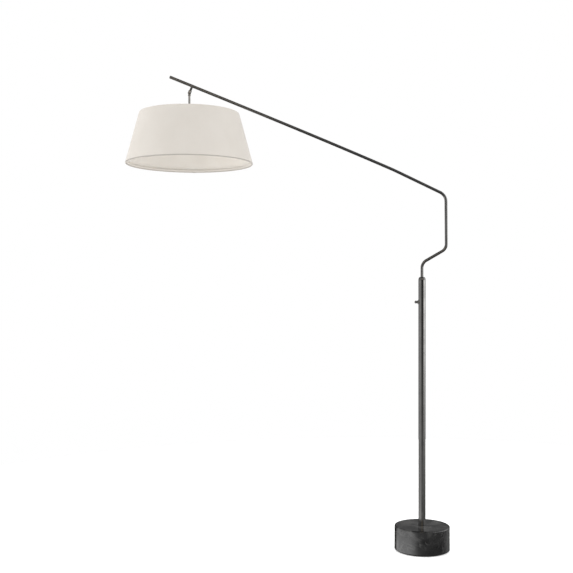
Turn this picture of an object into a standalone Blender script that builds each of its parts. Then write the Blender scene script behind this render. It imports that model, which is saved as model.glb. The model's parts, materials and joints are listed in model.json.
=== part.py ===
"""Side-arm floor lamp: marble drum base, pole, cranked sliding arm and a hanging drum shade.

Blender 4.5, metres, +Z up. The origin is on the pole's axis, at the underside of the foot pad.
The arm reaches out along -X, and Y runs across the lamp. Every object is one real piece. Pieces
that move together share an empty, which stands on their joint's axis.
"""

import math

import bmesh
import bpy
from mathutils import Matrix, Vector

# Fits and mesh fineness
GAP = 0.0003  # left between pieces that touch
LARGE = 48  # sides of the base and the shade
ROUND = 18  # sides of a fitting
TUBE = 12  # sides of the arm's tubes
SMALL = 8  # sides of a lead or a wire
BEND_STEP = math.radians(15)
HEM_STEPS = 3

# Base
BASE_RADIUS = 0.1203
BASE_TOP = 0.110
BASE_EDGE = 0.0055
PAD_RADIUS = 0.109
PAD_THICK = 0.003
ROD_HOLE_RADIUS = 0.007
RECESS_RADIUS = 0.036
RECESS_TOP = 0.0433
ROD_RADIUS = 0.00635
ROD_BORE = 0.004
ROD_BOTTOM = 0.026
ROD_TOP = 0.140
WASHER_RADIUS = 0.028
WASHER_HEIGHT = 0.003
LOCK_WASHER_RADIUS = 0.0105
LOCK_WASHER_HEIGHT = 0.0018
NUT_FLATS = 0.019
NUT_HEIGHT = 0.007
GLAND_HEIGHT = 0.0165
GLAND_RADIUS = 0.006
GLAND_BORE = 0.004
GLAND_LENGTH = 0.020
GLAND_LIP = 0.003
GLAND_LIP_TAPER = 0.0015

# Pole
POLE_RADIUS = 0.016
POLE_BORE = 0.0145
POLE_BOTTOM = BASE_TOP + GAP
POLE_TOP = 1.199
SHOULDER = 0.013
CAP_FACE_RADIUS = 0.0106
CAP_SPIGOT = 0.026
CAP_STEPS = 5
FOOT_PLUG_HEIGHT = 0.025
BUSH_RADIUS = 0.009
BUSH_LIP = 0.001
PORT_REACH = 0.004  # of a cutter past each face of the wall it cuts

# Lock screw, whose axis runs along X
LOCK_HEIGHT = 1.090
LOCK_COLLAR_RADIUS = 0.011
LOCK_COLLAR_END = 0.0205
COLLAR_WALL = 0.0015
COLLAR_FLARE = 0.0007
COLLAR_NECK = 0.0025
COLLAR_TAPER = 0.0042
COLLAR_BEHIND = 0.002
INSERT_RADIUS = 0.005
INSERT_START = 0.0115
INSERT_INSET = 0.001
SCREW_RADIUS = 0.003
PAD_TIP_RADIUS = 0.004
PAD_TIP_LENGTH = 0.002
BALL_RADIUS = 0.00625
BALL_CENTRE = 0.027
BALL_SHOULDER = 0.0035  # from the ball's centre to its straight neck
BALL_FACE = 0.0058  # and to the flat inner end of that neck
BALL_SEAT = 0.0015

# Arm
ARM_RADIUS = 0.00635
ARM_BORE = 0.00515
STEM_BOTTOM = 0.879
JOG_START = Vector((0.0, 0.0, 1.262))
JOG_END = Vector((0.107, 0.0, 1.324))
ELBOW = Vector((0.105, 0.0, 1.560))
ARM_JOINT = Vector((-0.1214, 0.0, 1.669))
JOG_BEND = 0.038
ELBOW_BEND = 0.045
COUPLER_HALF = 0.040
COUPLER_BORE = 0.0036
BOOM_SLOPE = math.tan(math.radians(23.54))
BOOM_SAG = 0.0169  # how far the pendant's weight bends the boom down at the hanger
BOOM_TIP_X = -1.109
BOOM_STEPS = 10
END_CAP_LENGTH = 0.002
END_CAP_EDGE = 0.0006
END_CAP_SHANK = 0.012
GLIDE_RADIUS = 0.0141
GLIDE_LENGTH = 0.030
CLIP_RADIUS = 0.0095
CLIP_THICK = 0.0015
CLIP_HEIGHT = 0.004  # of the lower clip above the stem's end

# Hanger and swivel
HANGER_X = -1.0101
HANGER_LENGTH = 0.033  # from the boom's centreline to the pivot
NIPPLE_RADIUS = 0.0039
NIPPLE_BORE = 0.003
NIPPLE_IN_BOOM = 0.0014
SLEEVE_UNDER_ROOT = 0.002
SLEEVE_RADIUS = 0.0048
FORK_RADIUS = 0.0075
FORK_TOP = 0.0105
FORK_EDGE = 0.001
FORK_FLOOR = 0.002
SLOT_TOP = 0.008
SLOT_HALF = 0.004
FORK_FLAT = 0.0068
PIVOT_RADIUS = 0.002
PIVOT_END = 0.0040  # of the pivot screw beyond the fork
PIVOT_HEAD_RADIUS = 0.0036
PIVOT_DOME_RADIUS = 0.0026
PIVOT_HEAD_EDGE = 0.0012
PIVOT_DOME_EDGE = 0.0022
PIVOT_HEAD = 0.0024
THUMB_NUT_RADIUS = 0.0042
THUMB_NUT_HEIGHT = 0.0032
KNURL = 0.0003
EYE_RADIUS = 0.007
EYE_HALF = 0.0026
NECK_RADIUS = 0.0062
NECK_TOP = -0.008
NECK_BOTTOM = -0.013
NECK_EDGE = 0.0006
NECK_SEAT = NECK_TOP - 0.0018
EYE_FOOT_HALF = 0.0052
EYE_IN_NECK = 0.001
FRICTION_WASHER_RADIUS = 0.006
WASHER_THICK = 0.0008

# Pendant, as heights above the floor
HANG_ROD_RADIUS = 0.00475
HANG_ROD_BORE = 0.0031
HANG_ROD_BOTTOM = 1.894
JAM_NUT_TOP = 1.9115
JAM_NUT_HEIGHT = 0.005
JAM_NUT_FLATS = 0.014
SPIDER_HUB_RADIUS = 0.013
SPIDER_HUB_THICK = 0.002
SPIDER_WIRE = 0.0015
SPIDER_ANGLES = (30, 150, 270)
SOCKET_CAP_HEIGHT = 0.019
SOCKET_CAP_FACE = 0.0095
SOCKET_CAP_INNER_FACE = 0.0088
SOCKET_CAP_FACE_THICK = 0.0012
SOCKET_CAP_SHOULDER = 0.0080
SOCKET_CAP_INNER_SHOULDER = 0.0084
SOCKET_CAP_SLOPE = 0.0022
SOCKET_CAP_SKIRT = 0.006
SOCKET_RADIUS = 0.0172
SOCKET_WALL = 0.0007
SOCKET_BOTTOM = 1.832
SLEEVE_INSET = 0.001
SCREW_SHELL_WALL = 0.0004
SCREW_SHELL_INSET = 0.002
SCREW_SHELL_HOLE = 0.006
CONTACT_RADIUS = 0.0034
BLOCK_UNDER_KEY = 0.0056
BULB_CAP_RADIUS = 0.0128
BULB_CAP_BORE = 0.0090
BULB_CAP_DEPTH = 0.004
BULB_TIP_RADIUS = 0.0048
BULB_TIP_HEIGHT = 0.0030
BULB_TIP_SLOPE = 0.002
BULB_CAP_SHOULDER = 0.0055
BULB_RADIUS = 0.030
BULB_WALL = 0.0012
BULB_NECK_RADIUS = 0.0118
BULB_THROAT_RADIUS = 0.0132
BULB_THROAT = 0.010
BULB_CENTRE = 1.7855
BULB_CAP_TOP = 1.8575
BULB_CAP_BOTTOM = 1.8335
KEY_HEIGHT = 1.868
KEY_REACH = 0.032
KEY_PORT_RADIUS = 0.0026
KEY_PORT_DEPTH = 0.006
KEY_STEM_RADIUS = 0.0018
KEY_STEM_INSIDE = 0.005
KEY_GRIP_CLEAR = 0.005
KEY_GRIP_WIDE = 0.0070
KEY_GRIP_NARROW = 0.0030

# Shade
SHADE_TOP = 1.9177
SHADE_BOTTOM = 1.6946
SHADE_TOP_RADIUS = 0.220
SHADE_BOTTOM_RADIUS = 0.279
SHADE_WIRE = 0.0018
SKIN = 0.001
LINER = 0.0008
HEM = 0.009
HEM_RADIUS = SHADE_WIRE + GAP + SKIN

# Leads
LEAD_RADIUS = 0.0022
BASE_LEAD_TOP = 0.80
LEAD_BEND = 0.012
LEAD_BEND_IN_BOOM = 0.006
LEAD_IN_HANGER = 0.020
LEAD_IN_ROD = 0.001
LEAD_BELOW_ROD = 0.004


def boom_height(x):
    """Height of the boom's centreline: a straight rise less the droop of a loaded cantilever."""
    reach = ARM_JOINT.x - x
    span = ARM_JOINT.x - HANGER_X
    if reach <= span:
        droop = BOOM_SAG * (3 * span * reach**2 - reach**3) / (2 * span**3)
    else:
        droop = BOOM_SAG * (1 + 1.5 * (reach - span) / span)
    return ARM_JOINT.z + BOOM_SLOPE * reach - droop


HANGER_TILT = math.atan(BOOM_SLOPE - 1.5 * BOOM_SAG / (ARM_JOINT.x - HANGER_X))
HANGER_UP = Vector((math.sin(HANGER_TILT), 0.0, math.cos(HANGER_TILT)))
HANGER_ROOT = Vector((HANGER_X, 0.0, boom_height(HANGER_X)))
PIVOT = HANGER_ROOT - HANGER_LENGTH * HANGER_UP
BOOM_AXIS_AT_HANGER = Vector((-math.cos(HANGER_TILT), 0.0, math.sin(HANGER_TILT)))

X_AXIS = Vector((1, 0, 0))
Y_AXIS = Vector((0, 1, 0))
Z_AXIS = Vector((0, 0, 1))


# Scene and materials


def clear_scene():
    for obj in list(bpy.data.objects):
        bpy.data.objects.remove(obj)


def material(name, colour, roughness, metallic=0.0):
    made = bpy.data.materials.new(name)
    made.use_nodes = True
    shader = made.node_tree.nodes["Principled BSDF"]
    shader.inputs["Base Color"].default_value = (*colour, 1)
    shader.inputs["Roughness"].default_value = roughness
    shader.inputs["Metallic"].default_value = metallic
    return made


def joint_empty(name, at, parent=None):
    """An empty that stands on a joint's axis and carries the pieces of one moving body."""
    empty = bpy.data.objects.new(name, None)
    empty.empty_display_size = 0.05
    bpy.context.scene.collection.objects.link(empty)
    empty.location = at
    if parent:
        empty.parent = parent
        empty.matrix_parent_inverse = parent_inverse(parent)
    return empty


def parent_inverse(empty):
    bpy.context.view_layer.update()
    return empty.matrix_world.inverted()


def placed(name, mesh, look, at, along, body):
    """Turns a bmesh into an object whose local Z lies along the given direction."""
    bmesh.ops.recalc_face_normals(mesh, faces=mesh.faces)
    data = bpy.data.meshes.new(name)
    mesh.to_mesh(data)
    mesh.free()
    data.shade_smooth()
    data.set_sharp_from_angle(angle=math.radians(32))
    obj = bpy.data.objects.new(name, data)
    bpy.context.scene.collection.objects.link(obj)
    obj.location = at
    obj.rotation_mode = "QUATERNION"
    obj.rotation_quaternion = Z_AXIS.rotation_difference(Vector(along))
    if look:
        data.materials.append(look)
    if body:
        obj.parent = body
        obj.matrix_parent_inverse = parent_inverse(body)
    return obj


# Shapes


def turned(name, look, profile, sides=ROUND, at=(0, 0, 0), along=Z_AXIS, body=None):
    """A turned solid. The profile is a closed outline of (radius, height) points.

    A radius may be a function of the angle, which makes a prism such as a hexagon.
    """
    mesh = bmesh.new()
    rings = []
    for radius, height in profile:
        if radius == 0:
            rings.append([mesh.verts.new((0, 0, height))] * sides)
            continue
        ring = []
        for side in range(sides):
            angle = side * math.tau / sides
            reach = radius(angle) if callable(radius) else radius
            ring.append(mesh.verts.new((reach * math.cos(angle), reach * math.sin(angle), height)))
        rings.append(ring)
    for upper, lower in zip(rings, rings[1:] + rings[:1]):
        for side in range(sides):
            after = (side + 1) % sides
            corners = dict.fromkeys([upper[side], upper[after], lower[after], lower[side]])
            if len(corners) > 2:
                mesh.faces.new(list(corners))
    return placed(name, mesh, look, at, along, body)


def sleeve(name, look, outer, bore, top, bottom, **place):
    """A plain round sleeve, washer or, with a bore of 0, a disc or pin."""
    outline = [(bore, top), (outer, top), (outer, bottom), (bore, bottom)]
    return turned(name, look, outline, **place)


def hexagon(across_flats):
    def reach(angle):
        return across_flats / 2 / math.cos(angle % (math.pi / 3) - math.pi / 6)

    return reach


def arc(centre, radius, start, end, steps):
    """Points of an arc in the (radius, height) plane, with its angles in degrees."""
    points = []
    for step in range(steps + 1):
        angle = math.radians(start + (end - start) * step / steps)
        points.append((centre[0] + radius * math.cos(angle), centre[1] + radius * math.sin(angle)))
    return points


def rounded_path(corners, bends):
    """A path through the corners, each inner one rounded to its bend radius."""
    path = [corners[0]]
    for before, corner, after, bend in zip(corners, corners[1:], corners[2:], bends):
        into = (corner - before).normalized()
        out = (after - corner).normalized()
        turn = into.angle(out)
        side = (out - into * out.dot(into)).normalized()
        start = corner - into * bend * math.tan(turn / 2)
        steps = max(2, round(turn / BEND_STEP))
        for step in range(steps + 1):
            angle = turn * step / steps
            path.append(start + bend * (math.sin(angle) * into + (1 - math.cos(angle)) * side))
    path.append(corners[-1])
    return path


def swept(name, look, path, outer, bore, across, sides=TUBE, body=None):
    """A tube, or a rod where the bore is 0, along a path that is flat across one direction."""
    mesh = bmesh.new()
    skins = []
    for radius in (outer, bore) if bore else (outer,):
        rings = []
        for index, point in enumerate(path):
            ahead = path[min(index + 1, len(path) - 1)] - path[max(index - 1, 0)]
            up = ahead.normalized().cross(across)
            ring = []
            for side in range(sides):
                angle = side * math.tau / sides
                spoke = math.cos(angle) * across + math.sin(angle) * up
                ring.append(mesh.verts.new(point + radius * spoke))
            rings.append(ring)
        for first, second in zip(rings, rings[1:]):
            join_rings(mesh, first, second)
        skins.append(rings)
    for end in (0, -1):
        if bore:
            join_rings(mesh, skins[0][end], skins[1][end])
        else:
            mesh.faces.new(skins[0][end])
    return placed(name, mesh, look, (0, 0, 0), Z_AXIS, body)


def join_rings(mesh, first, second):
    for side in range(len(first)):
        after = (side + 1) % len(first)
        mesh.faces.new([first[side], first[after], second[after], second[side]])


def box(name, low, high, look=None, at=(0, 0, 0), along=Z_AXIS, body=None):
    mesh = bmesh.new()
    bmesh.ops.create_cube(mesh, size=1)
    low, high = Vector(low), Vector(high)
    middle, size = (low + high) / 2, high - low
    bmesh.ops.transform(mesh, matrix=Matrix.LocRotScale(middle, None, size), verts=mesh.verts)
    return placed(name, mesh, look, at, along, body)


def slab(name, look, outline, half, at, body):
    """A flat plate: an outline of (x, z) points, as thick as twice half along Y."""
    mesh = bmesh.new()
    front = [mesh.verts.new((x, -half, z)) for x, z in outline]
    rear = [mesh.verts.new((x, half, z)) for x, z in outline]
    mesh.faces.new(front)
    mesh.faces.new(rear)
    join_rings(mesh, front, rear)
    return placed(name, mesh, look, at, Z_AXIS, body)


def boolean(obj, tool, operation="DIFFERENCE"):
    """Cuts the tool from the object, or joins it to it, and hides the tool."""
    modifier = obj.modifiers.new(tool.name, "BOOLEAN")
    modifier.object = tool
    modifier.operation = operation
    modifier.solver = "EXACT"
    tool.hide_render = True
    tool.display_type = "WIRE"


def clear_of(radius):
    """The corner radius of a round hole whose flats stay one gap off a shaft of this radius."""
    return (radius + GAP) / math.cos(math.pi / ROUND)


# Base


def build_base(looks):
    edge = BASE_EDGE
    bottom = PAD_THICK + GAP
    outline = [(ROD_HOLE_RADIUS, BASE_TOP)]
    outline += arc((BASE_RADIUS - edge, BASE_TOP - edge), edge, 90, 0, 3)
    outline += arc((BASE_RADIUS - edge, bottom + edge), edge, 0, -90, 3)
    outline += [(RECESS_RADIUS, bottom), (RECESS_RADIUS, RECESS_TOP), (ROD_HOLE_RADIUS, RECESS_TOP)]
    drum = turned("marble_base", looks["marble"], outline, sides=LARGE)
    channel = sleeve(
        "channel_cutter",
        None,
        GLAND_RADIUS + GAP,
        0,
        BASE_RADIUS + 2 * PORT_REACH,
        RECESS_RADIUS - 2 * PORT_REACH,
        at=(0, 0, GLAND_HEIGHT),
        along=Y_AXIS,
    )
    boolean(drum, channel)
    sleeve("foot_pad", looks["felt"], PAD_RADIUS, 0, PAD_THICK, 0, sides=LARGE)


def build_base_fixing(looks):
    """The hollow rod that clamps the pole to the marble, and what is on it under the marble."""
    steel = looks["zinc_steel"]
    sleeve("clamp_rod", steel, ROD_RADIUS, ROD_BORE, ROD_TOP, ROD_BOTTOM)
    bore = clear_of(ROD_RADIUS)
    top = RECESS_TOP - GAP
    for name, reach, height in (
        ("clamp_washer", WASHER_RADIUS, WASHER_HEIGHT),
        ("lock_washer", LOCK_WASHER_RADIUS, LOCK_WASHER_HEIGHT),
        ("clamp_nut", hexagon(NUT_FLATS), NUT_HEIGHT),
    ):
        sleeve(name, steel, reach, bore, top, top - height)
        top -= height + GAP
    plug_top = POLE_BOTTOM + FOOT_PLUG_HEIGHT
    plug_radius = POLE_BORE * math.cos(math.pi / ROUND) - GAP
    sleeve("pole_foot_plug", steel, plug_radius, bore, plug_top, POLE_BOTTOM)


def build_gland(looks):
    """The rear bush that a mains lead would enter by, and the lead inside the stand."""
    lip_start = BASE_RADIUS + GAP
    outline = [
        (GLAND_BORE, lip_start + GLAND_LIP),
        (GLAND_RADIUS + GLAND_LIP_TAPER, lip_start + GLAND_LIP),
        (GLAND_RADIUS + 2 * GLAND_LIP_TAPER, lip_start),
        (GLAND_RADIUS, lip_start),
        (GLAND_RADIUS, lip_start - GLAND_LENGTH),
        (GLAND_BORE, lip_start - GLAND_LENGTH),
    ]
    turned("cord_gland", looks["black_nylon"], outline, at=(0, 0, GLAND_HEIGHT), along=Y_AXIS)
    route = [
        Vector((0, lip_start - GLAND_LENGTH / 2, GLAND_HEIGHT)),
        Vector((0, 0, GLAND_HEIGHT)),
        Vector((0, 0, BASE_LEAD_TOP)),
    ]
    path = rounded_path(route, [LEAD_BEND])
    swept("stand_lead", looks["lead"], path, LEAD_RADIUS, 0, X_AXIS, sides=SMALL)


# Pole


def build_pole(looks):
    bronze = looks["bronze"]
    shoulder = POLE_TOP - SHOULDER
    tube = sleeve("pole_tube", bronze, POLE_RADIUS, POLE_BORE, shoulder - GAP, POLE_BOTTOM)
    port = sleeve(
        "lock_port_cutter",
        None,
        clear_of(INSERT_RADIUS),
        0,
        POLE_RADIUS + PORT_REACH,
        POLE_BORE - PORT_REACH,
        at=(0, 0, LOCK_HEIGHT),
        along=-X_AXIS,
    )
    boolean(tube, port)
    spigot = POLE_BORE * math.cos(math.pi / ROUND) - GAP
    bore = clear_of(BUSH_RADIUS)
    outline = [(bore, POLE_TOP), (CAP_FACE_RADIUS, POLE_TOP)]
    for step in range(1, CAP_STEPS + 1):
        angle = math.radians(90 - 90 * step / CAP_STEPS)
        swing = (POLE_RADIUS - CAP_FACE_RADIUS) * math.cos(angle)
        outline.append((CAP_FACE_RADIUS + swing, shoulder + SHOULDER * math.sin(angle)))
    outline += [(spigot, shoulder), (spigot, shoulder - CAP_SPIGOT), (bore, shoulder - CAP_SPIGOT)]
    turned("pole_cap", bronze, outline)
    lip = CAP_FACE_RADIUS - GAP
    shaft = clear_of(ARM_RADIUS)
    outline = [
        (shaft, POLE_TOP + GAP + BUSH_LIP),
        (lip, POLE_TOP + GAP + BUSH_LIP),
        (lip, POLE_TOP + GAP),
        (BUSH_RADIUS, POLE_TOP + GAP),
        (BUSH_RADIUS, shoulder - CAP_SPIGOT),
        (shaft, shoulder - CAP_SPIGOT),
    ]
    turned("guide_bush", looks["black_nylon"], outline)


def build_lock(looks, pad_body, screw_body):
    """The ball-ended lock screw. Local Z runs out of the pole, along -X."""
    place = {"at": (0, 0, LOCK_HEIGHT), "along": -X_AXIS}
    throat = clear_of(INSERT_RADIUS)
    mouth = INSERT_RADIUS + COLLAR_WALL
    outline = [
        (throat, LOCK_COLLAR_END),
        (mouth, LOCK_COLLAR_END),
        (mouth + COLLAR_FLARE, LOCK_COLLAR_END - COLLAR_NECK),
        (LOCK_COLLAR_RADIUS, LOCK_COLLAR_END - COLLAR_TAPER),
        (LOCK_COLLAR_RADIUS, INSERT_START - COLLAR_BEHIND),
        (throat, INSERT_START - COLLAR_BEHIND),
    ]
    collar = turned("lock_collar", looks["dark_bronze"], outline, **place)
    pole = sleeve(
        "collar_seat_cutter",
        None,
        POLE_RADIUS + GAP,
        0,
        LOCK_HEIGHT + 2 * LOCK_COLLAR_RADIUS,
        LOCK_HEIGHT - 2 * LOCK_COLLAR_RADIUS,
    )
    boolean(collar, pole)
    thread = clear_of(SCREW_RADIUS)
    sleeve(
        "lock_insert",
        looks["zinc_steel"],
        INSERT_RADIUS,
        thread,
        LOCK_COLLAR_END - INSERT_INSET,
        INSERT_START,
        **place,
    )
    pad_start = ARM_RADIUS + GAP
    pad_end = pad_start + PAD_TIP_LENGTH
    sleeve(
        "lock_pad", looks["brass"], PAD_TIP_RADIUS, 0, pad_end, pad_start, body=pad_body, **place
    )
    ball_face = BALL_CENTRE - BALL_FACE
    seat = BALL_CENTRE + BALL_SEAT
    sleeve(
        "lock_screw",
        looks["zinc_steel"],
        SCREW_RADIUS,
        0,
        seat - GAP,
        pad_end + GAP,
        body=screw_body,
        **place,
    )
    outline = [(0, BALL_CENTRE + BALL_RADIUS)]
    shoulder = -math.degrees(math.asin(BALL_SHOULDER / BALL_RADIUS))
    outline += arc((0, BALL_CENTRE), BALL_RADIUS, 75, shoulder, 7)
    outline += [(outline[-1][0], ball_face), (thread, ball_face), (thread, seat), (0, seat)]
    turned("lock_ball", looks["dark_bronze"], outline, body=screw_body, **place)


# Arm


def boom_path(start_x, end_x):
    points = []
    for step in range(BOOM_STEPS + 1):
        x = start_x + (end_x - start_x) * step / BOOM_STEPS
        points.append(Vector((x, 0.0, boom_height(x))))
    return points


def build_arm(looks, body):
    bronze = looks["bronze"]
    rise = (ARM_JOINT - ELBOW).normalized()
    run = (boom_path(ARM_JOINT.x, HANGER_X)[1] - ARM_JOINT).normalized()
    stem = Vector((0, 0, STEM_BOTTOM))
    corners = [stem, JOG_START, JOG_END, ELBOW, ARM_JOINT - GAP * rise]
    bends = [JOG_BEND, JOG_BEND, ELBOW_BEND]
    riser = rounded_path(corners, bends)
    swept("arm_riser", bronze, riser, ARM_RADIUS, ARM_BORE, Y_AXIS, body=body)
    coupler_radius = ARM_BORE * math.cos(math.pi / TUBE) - GAP
    coupler = [ARM_JOINT - COUPLER_HALF * rise, ARM_JOINT, ARM_JOINT + COUPLER_HALF * run]
    steel = looks["zinc_steel"]
    swept("arm_coupler", steel, coupler, coupler_radius, COUPLER_BORE, Y_AXIS, body=body)
    tip = BOOM_TIP_X + END_CAP_LENGTH * math.cos(HANGER_TILT)
    boom = boom_path(ARM_JOINT.x - GAP, tip)
    tube = swept("boom_tube", bronze, boom, ARM_RADIUS, ARM_BORE, Y_AXIS, body=body)
    port = sleeve(
        "hanger_port_cutter",
        None,
        clear_of(NIPPLE_RADIUS),
        0,
        0,
        -2 * ARM_RADIUS,
        at=HANGER_ROOT,
        along=HANGER_UP,
    )
    boolean(tube, port)
    outline = [
        (0, END_CAP_LENGTH),
        (ARM_RADIUS - END_CAP_EDGE, END_CAP_LENGTH),
        (ARM_RADIUS, END_CAP_LENGTH - END_CAP_EDGE),
        (ARM_RADIUS, GAP),
        (coupler_radius, GAP),
        (coupler_radius, -END_CAP_SHANK),
        (0, -END_CAP_SHANK),
    ]
    end = (boom[-1] - boom[-2]).normalized()
    turned("boom_end_cap", looks["dark_bronze"], outline, at=boom[-1], along=end, body=body)
    lead_end = HANGER_ROOT - LEAD_IN_HANGER * HANGER_UP
    inside = boom_path(ARM_JOINT.x, HANGER_X)[1:-1]
    path = rounded_path([stem, JOG_START, JOG_END, ELBOW, ARM_JOINT], bends) + inside
    path += rounded_path([inside[-1], HANGER_ROOT, lead_end], [LEAD_BEND_IN_BOOM])[1:]
    swept("arm_lead", looks["lead"], path, LEAD_RADIUS, 0, Y_AXIS, sides=SMALL, body=body)


def build_stem_foot(looks, glide_body, arm_body):
    """The nylon glide that runs in the pole, and the two clips that hold it on the stem."""
    shaft = clear_of(ARM_RADIUS)
    lower = STEM_BOTTOM + CLIP_HEIGHT
    glide = lower + CLIP_THICK + GAP
    upper = glide + GLIDE_LENGTH + GAP
    steel = looks["zinc_steel"]
    sleeve("glide_clip_lower", steel, CLIP_RADIUS, shaft, lower + CLIP_THICK, lower, body=arm_body)
    sleeve("glide_clip_upper", steel, CLIP_RADIUS, shaft, upper + CLIP_THICK, upper, body=arm_body)
    nylon = looks["white_nylon"]
    top = glide + GLIDE_LENGTH
    sleeve("stem_glide", nylon, GLIDE_RADIUS, shaft, top, glide, body=glide_body)


# Hanger and swivel


def build_hanger(looks, body):
    """The hollow nipple under the boom, its cover sleeve and the fork of the swivel."""
    place = {"at": PIVOT, "along": HANGER_UP, "body": body}
    nipple_top = HANGER_LENGTH - ARM_RADIUS + NIPPLE_IN_BOOM
    sleeve(
        "hanger_nipple",
        looks["zinc_steel"],
        NIPPLE_RADIUS,
        NIPPLE_BORE,
        nipple_top,
        SLOT_TOP + GAP,
        **place,
    )
    bore = clear_of(NIPPLE_RADIUS)
    cover = sleeve(
        "hanger_sleeve",
        looks["bronze"],
        SLEEVE_RADIUS,
        bore,
        HANGER_LENGTH - SLEEVE_UNDER_ROOT,
        FORK_TOP + GAP,
        **place,
    )
    saddle = sleeve(
        "saddle_cutter",
        None,
        ARM_RADIUS + GAP,
        0,
        2 * FORK_RADIUS,
        -2 * FORK_RADIUS,
        at=HANGER_ROOT,
        along=BOOM_AXIS_AT_HANGER,
    )
    boolean(cover, saddle)
    outline = [(bore, FORK_TOP), (FORK_RADIUS - FORK_EDGE, FORK_TOP)]
    outline += [(FORK_RADIUS, FORK_TOP - FORK_EDGE)]
    outline += arc((0, 0), FORK_RADIUS, 0, -82, 7)
    outline += [(0, -FORK_RADIUS), (0, SLOT_TOP - FORK_FLOOR), (bore, SLOT_TOP - FORK_FLOOR)]
    fork = turned("swivel_fork", looks["dark_bronze"], outline, **place)
    reach = 2 * FORK_RADIUS
    where = {"at": PIVOT, "along": HANGER_UP}
    slot = box("slot_cutter", (-reach, -SLOT_HALF, -reach), (reach, SLOT_HALF, SLOT_TOP), **where)
    boolean(fork, slot)
    for side, name in ((1, "flat_cutter_rear"), (-1, "flat_cutter_front")):
        near, far = sorted((side * FORK_FLAT, side * reach))
        boolean(fork, box(name, (-reach, near, -reach), (reach, far, reach), **where))
    boolean(fork, pivot_cutter("fork_pivot_cutter"))


def pivot_cutter(name):
    reach = 2 * FORK_RADIUS
    return sleeve(name, None, clear_of(PIVOT_RADIUS), 0, reach, -reach, at=PIVOT, along=Y_AXIS)


def build_pivot(looks, body):
    """The pivot screw, its thumb nut and the two friction washers. Local Z runs along Y."""
    place = {"at": PIVOT, "along": Y_AXIS, "body": body}
    steel = looks["zinc_steel"]
    head = -FORK_FLAT - GAP
    nut = FORK_FLAT + GAP
    outline = [
        (0, nut + PIVOT_END),
        (PIVOT_RADIUS, nut + PIVOT_END),
        (PIVOT_RADIUS, head),
        (PIVOT_HEAD_RADIUS, head),
        (PIVOT_HEAD_RADIUS, head - PIVOT_HEAD_EDGE),
        (PIVOT_DOME_RADIUS, head - PIVOT_DOME_EDGE),
        (0, head - PIVOT_HEAD),
    ]
    turned("pivot_screw", looks["dark_bronze"], outline, **place)
    bore = clear_of(PIVOT_RADIUS)

    def knurl(angle):
        return THUMB_NUT_RADIUS + KNURL * math.cos(ROUND / 2 * angle)

    sleeve("thumb_nut", looks["dark_bronze"], knurl, bore, nut + THUMB_NUT_HEIGHT, nut, **place)
    for side, name in ((-1, "friction_washer_front"), (1, "friction_washer_rear")):
        low, high = sorted((side * (EYE_HALF + GAP), side * (EYE_HALF + GAP + WASHER_THICK)))
        sleeve(name, steel, FRICTION_WASHER_RADIUS, bore, high, low, **place)


def build_tongue(looks, body):
    """The lower half of the swivel: an eye between the fork's cheeks, over a collar for the rod."""
    outline = arc((0, 0), EYE_RADIUS, 218, -38, 16)
    foot = NECK_TOP - EYE_IN_NECK
    outline += [(EYE_FOOT_HALF, foot), (-EYE_FOOT_HALF, foot)]
    tongue = slab("swivel_tongue", looks["dark_bronze"], outline, EYE_HALF, PIVOT, body)
    bore = clear_of(HANG_ROD_RADIUS)
    outline = [
        (0, NECK_TOP),
        (NECK_RADIUS - NECK_EDGE, NECK_TOP),
        (NECK_RADIUS, NECK_TOP - NECK_EDGE),
        (NECK_RADIUS, NECK_BOTTOM),
        (bore, NECK_BOTTOM),
        (bore, NECK_SEAT),
        (0, NECK_SEAT),
    ]
    neck = turned("tongue_neck_part", None, outline, at=PIVOT)
    boolean(tongue, neck, "UNION")
    boolean(tongue, pivot_cutter("tongue_pivot_cutter"))


# Pendant


def on_shade_axis(body):
    return {"at": (PIVOT.x, 0, 0), "body": body}


def build_hang_rod(looks, body):
    place = on_shade_axis(body)
    rod_top = PIVOT.z + NECK_SEAT - GAP
    nickel = looks["nickel"]
    sleeve("hang_rod", nickel, HANG_ROD_RADIUS, HANG_ROD_BORE, rod_top, HANG_ROD_BOTTOM, **place)
    bore = clear_of(HANG_ROD_RADIUS)
    nut_bottom = JAM_NUT_TOP - JAM_NUT_HEIGHT
    flats = hexagon(JAM_NUT_FLATS)
    sleeve("jam_nut", looks["brass"], flats, bore, JAM_NUT_TOP, nut_bottom, **place)
    top = Vector((PIVOT.x, 0, rod_top - LEAD_IN_ROD))
    end = Vector((PIVOT.x, 0, HANG_ROD_BOTTOM - LEAD_BELOW_ROD))
    swept("pendant_lead", looks["lead"], [top, end], LEAD_RADIUS, 0, Y_AXIS, sides=SMALL, body=body)


def build_spider(looks, body):
    """The hub washer and three wire arms that hold the shade's top ring."""
    place = on_shade_axis(body)
    top = JAM_NUT_TOP - JAM_NUT_HEIGHT - GAP
    bore = clear_of(HANG_ROD_RADIUS)
    steel = looks["white_steel"]
    sleeve("spider_hub", steel, SPIDER_HUB_RADIUS, bore, top, top - SPIDER_HUB_THICK, **place)
    inner_height = top - SPIDER_HUB_THICK / 2
    top_ring = shade_ring_centre(SHADE_TOP_RADIUS, SHADE_TOP - HEM_RADIUS)
    reach = top_ring[0] - HEM_RADIUS - SPIDER_WIRE
    for number, degrees in enumerate(SPIDER_ANGLES, 1):
        angle = math.radians(degrees)
        out = Vector((math.cos(angle), math.sin(angle), 0))
        start = Vector((PIVOT.x, 0, inner_height)) + out * (SPIDER_HUB_RADIUS + GAP)
        end = Vector((PIVOT.x, 0, top_ring[1])) + out * reach
        across = out.cross(Z_AXIS)
        name = f"spider_arm_{number}"
        swept(name, steel, [start, end], SPIDER_WIRE, 0, across, sides=SMALL, body=body)


def shade_ring_centre(rim_radius, height):
    return (rim_radius - HEM_RADIUS, height)


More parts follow.
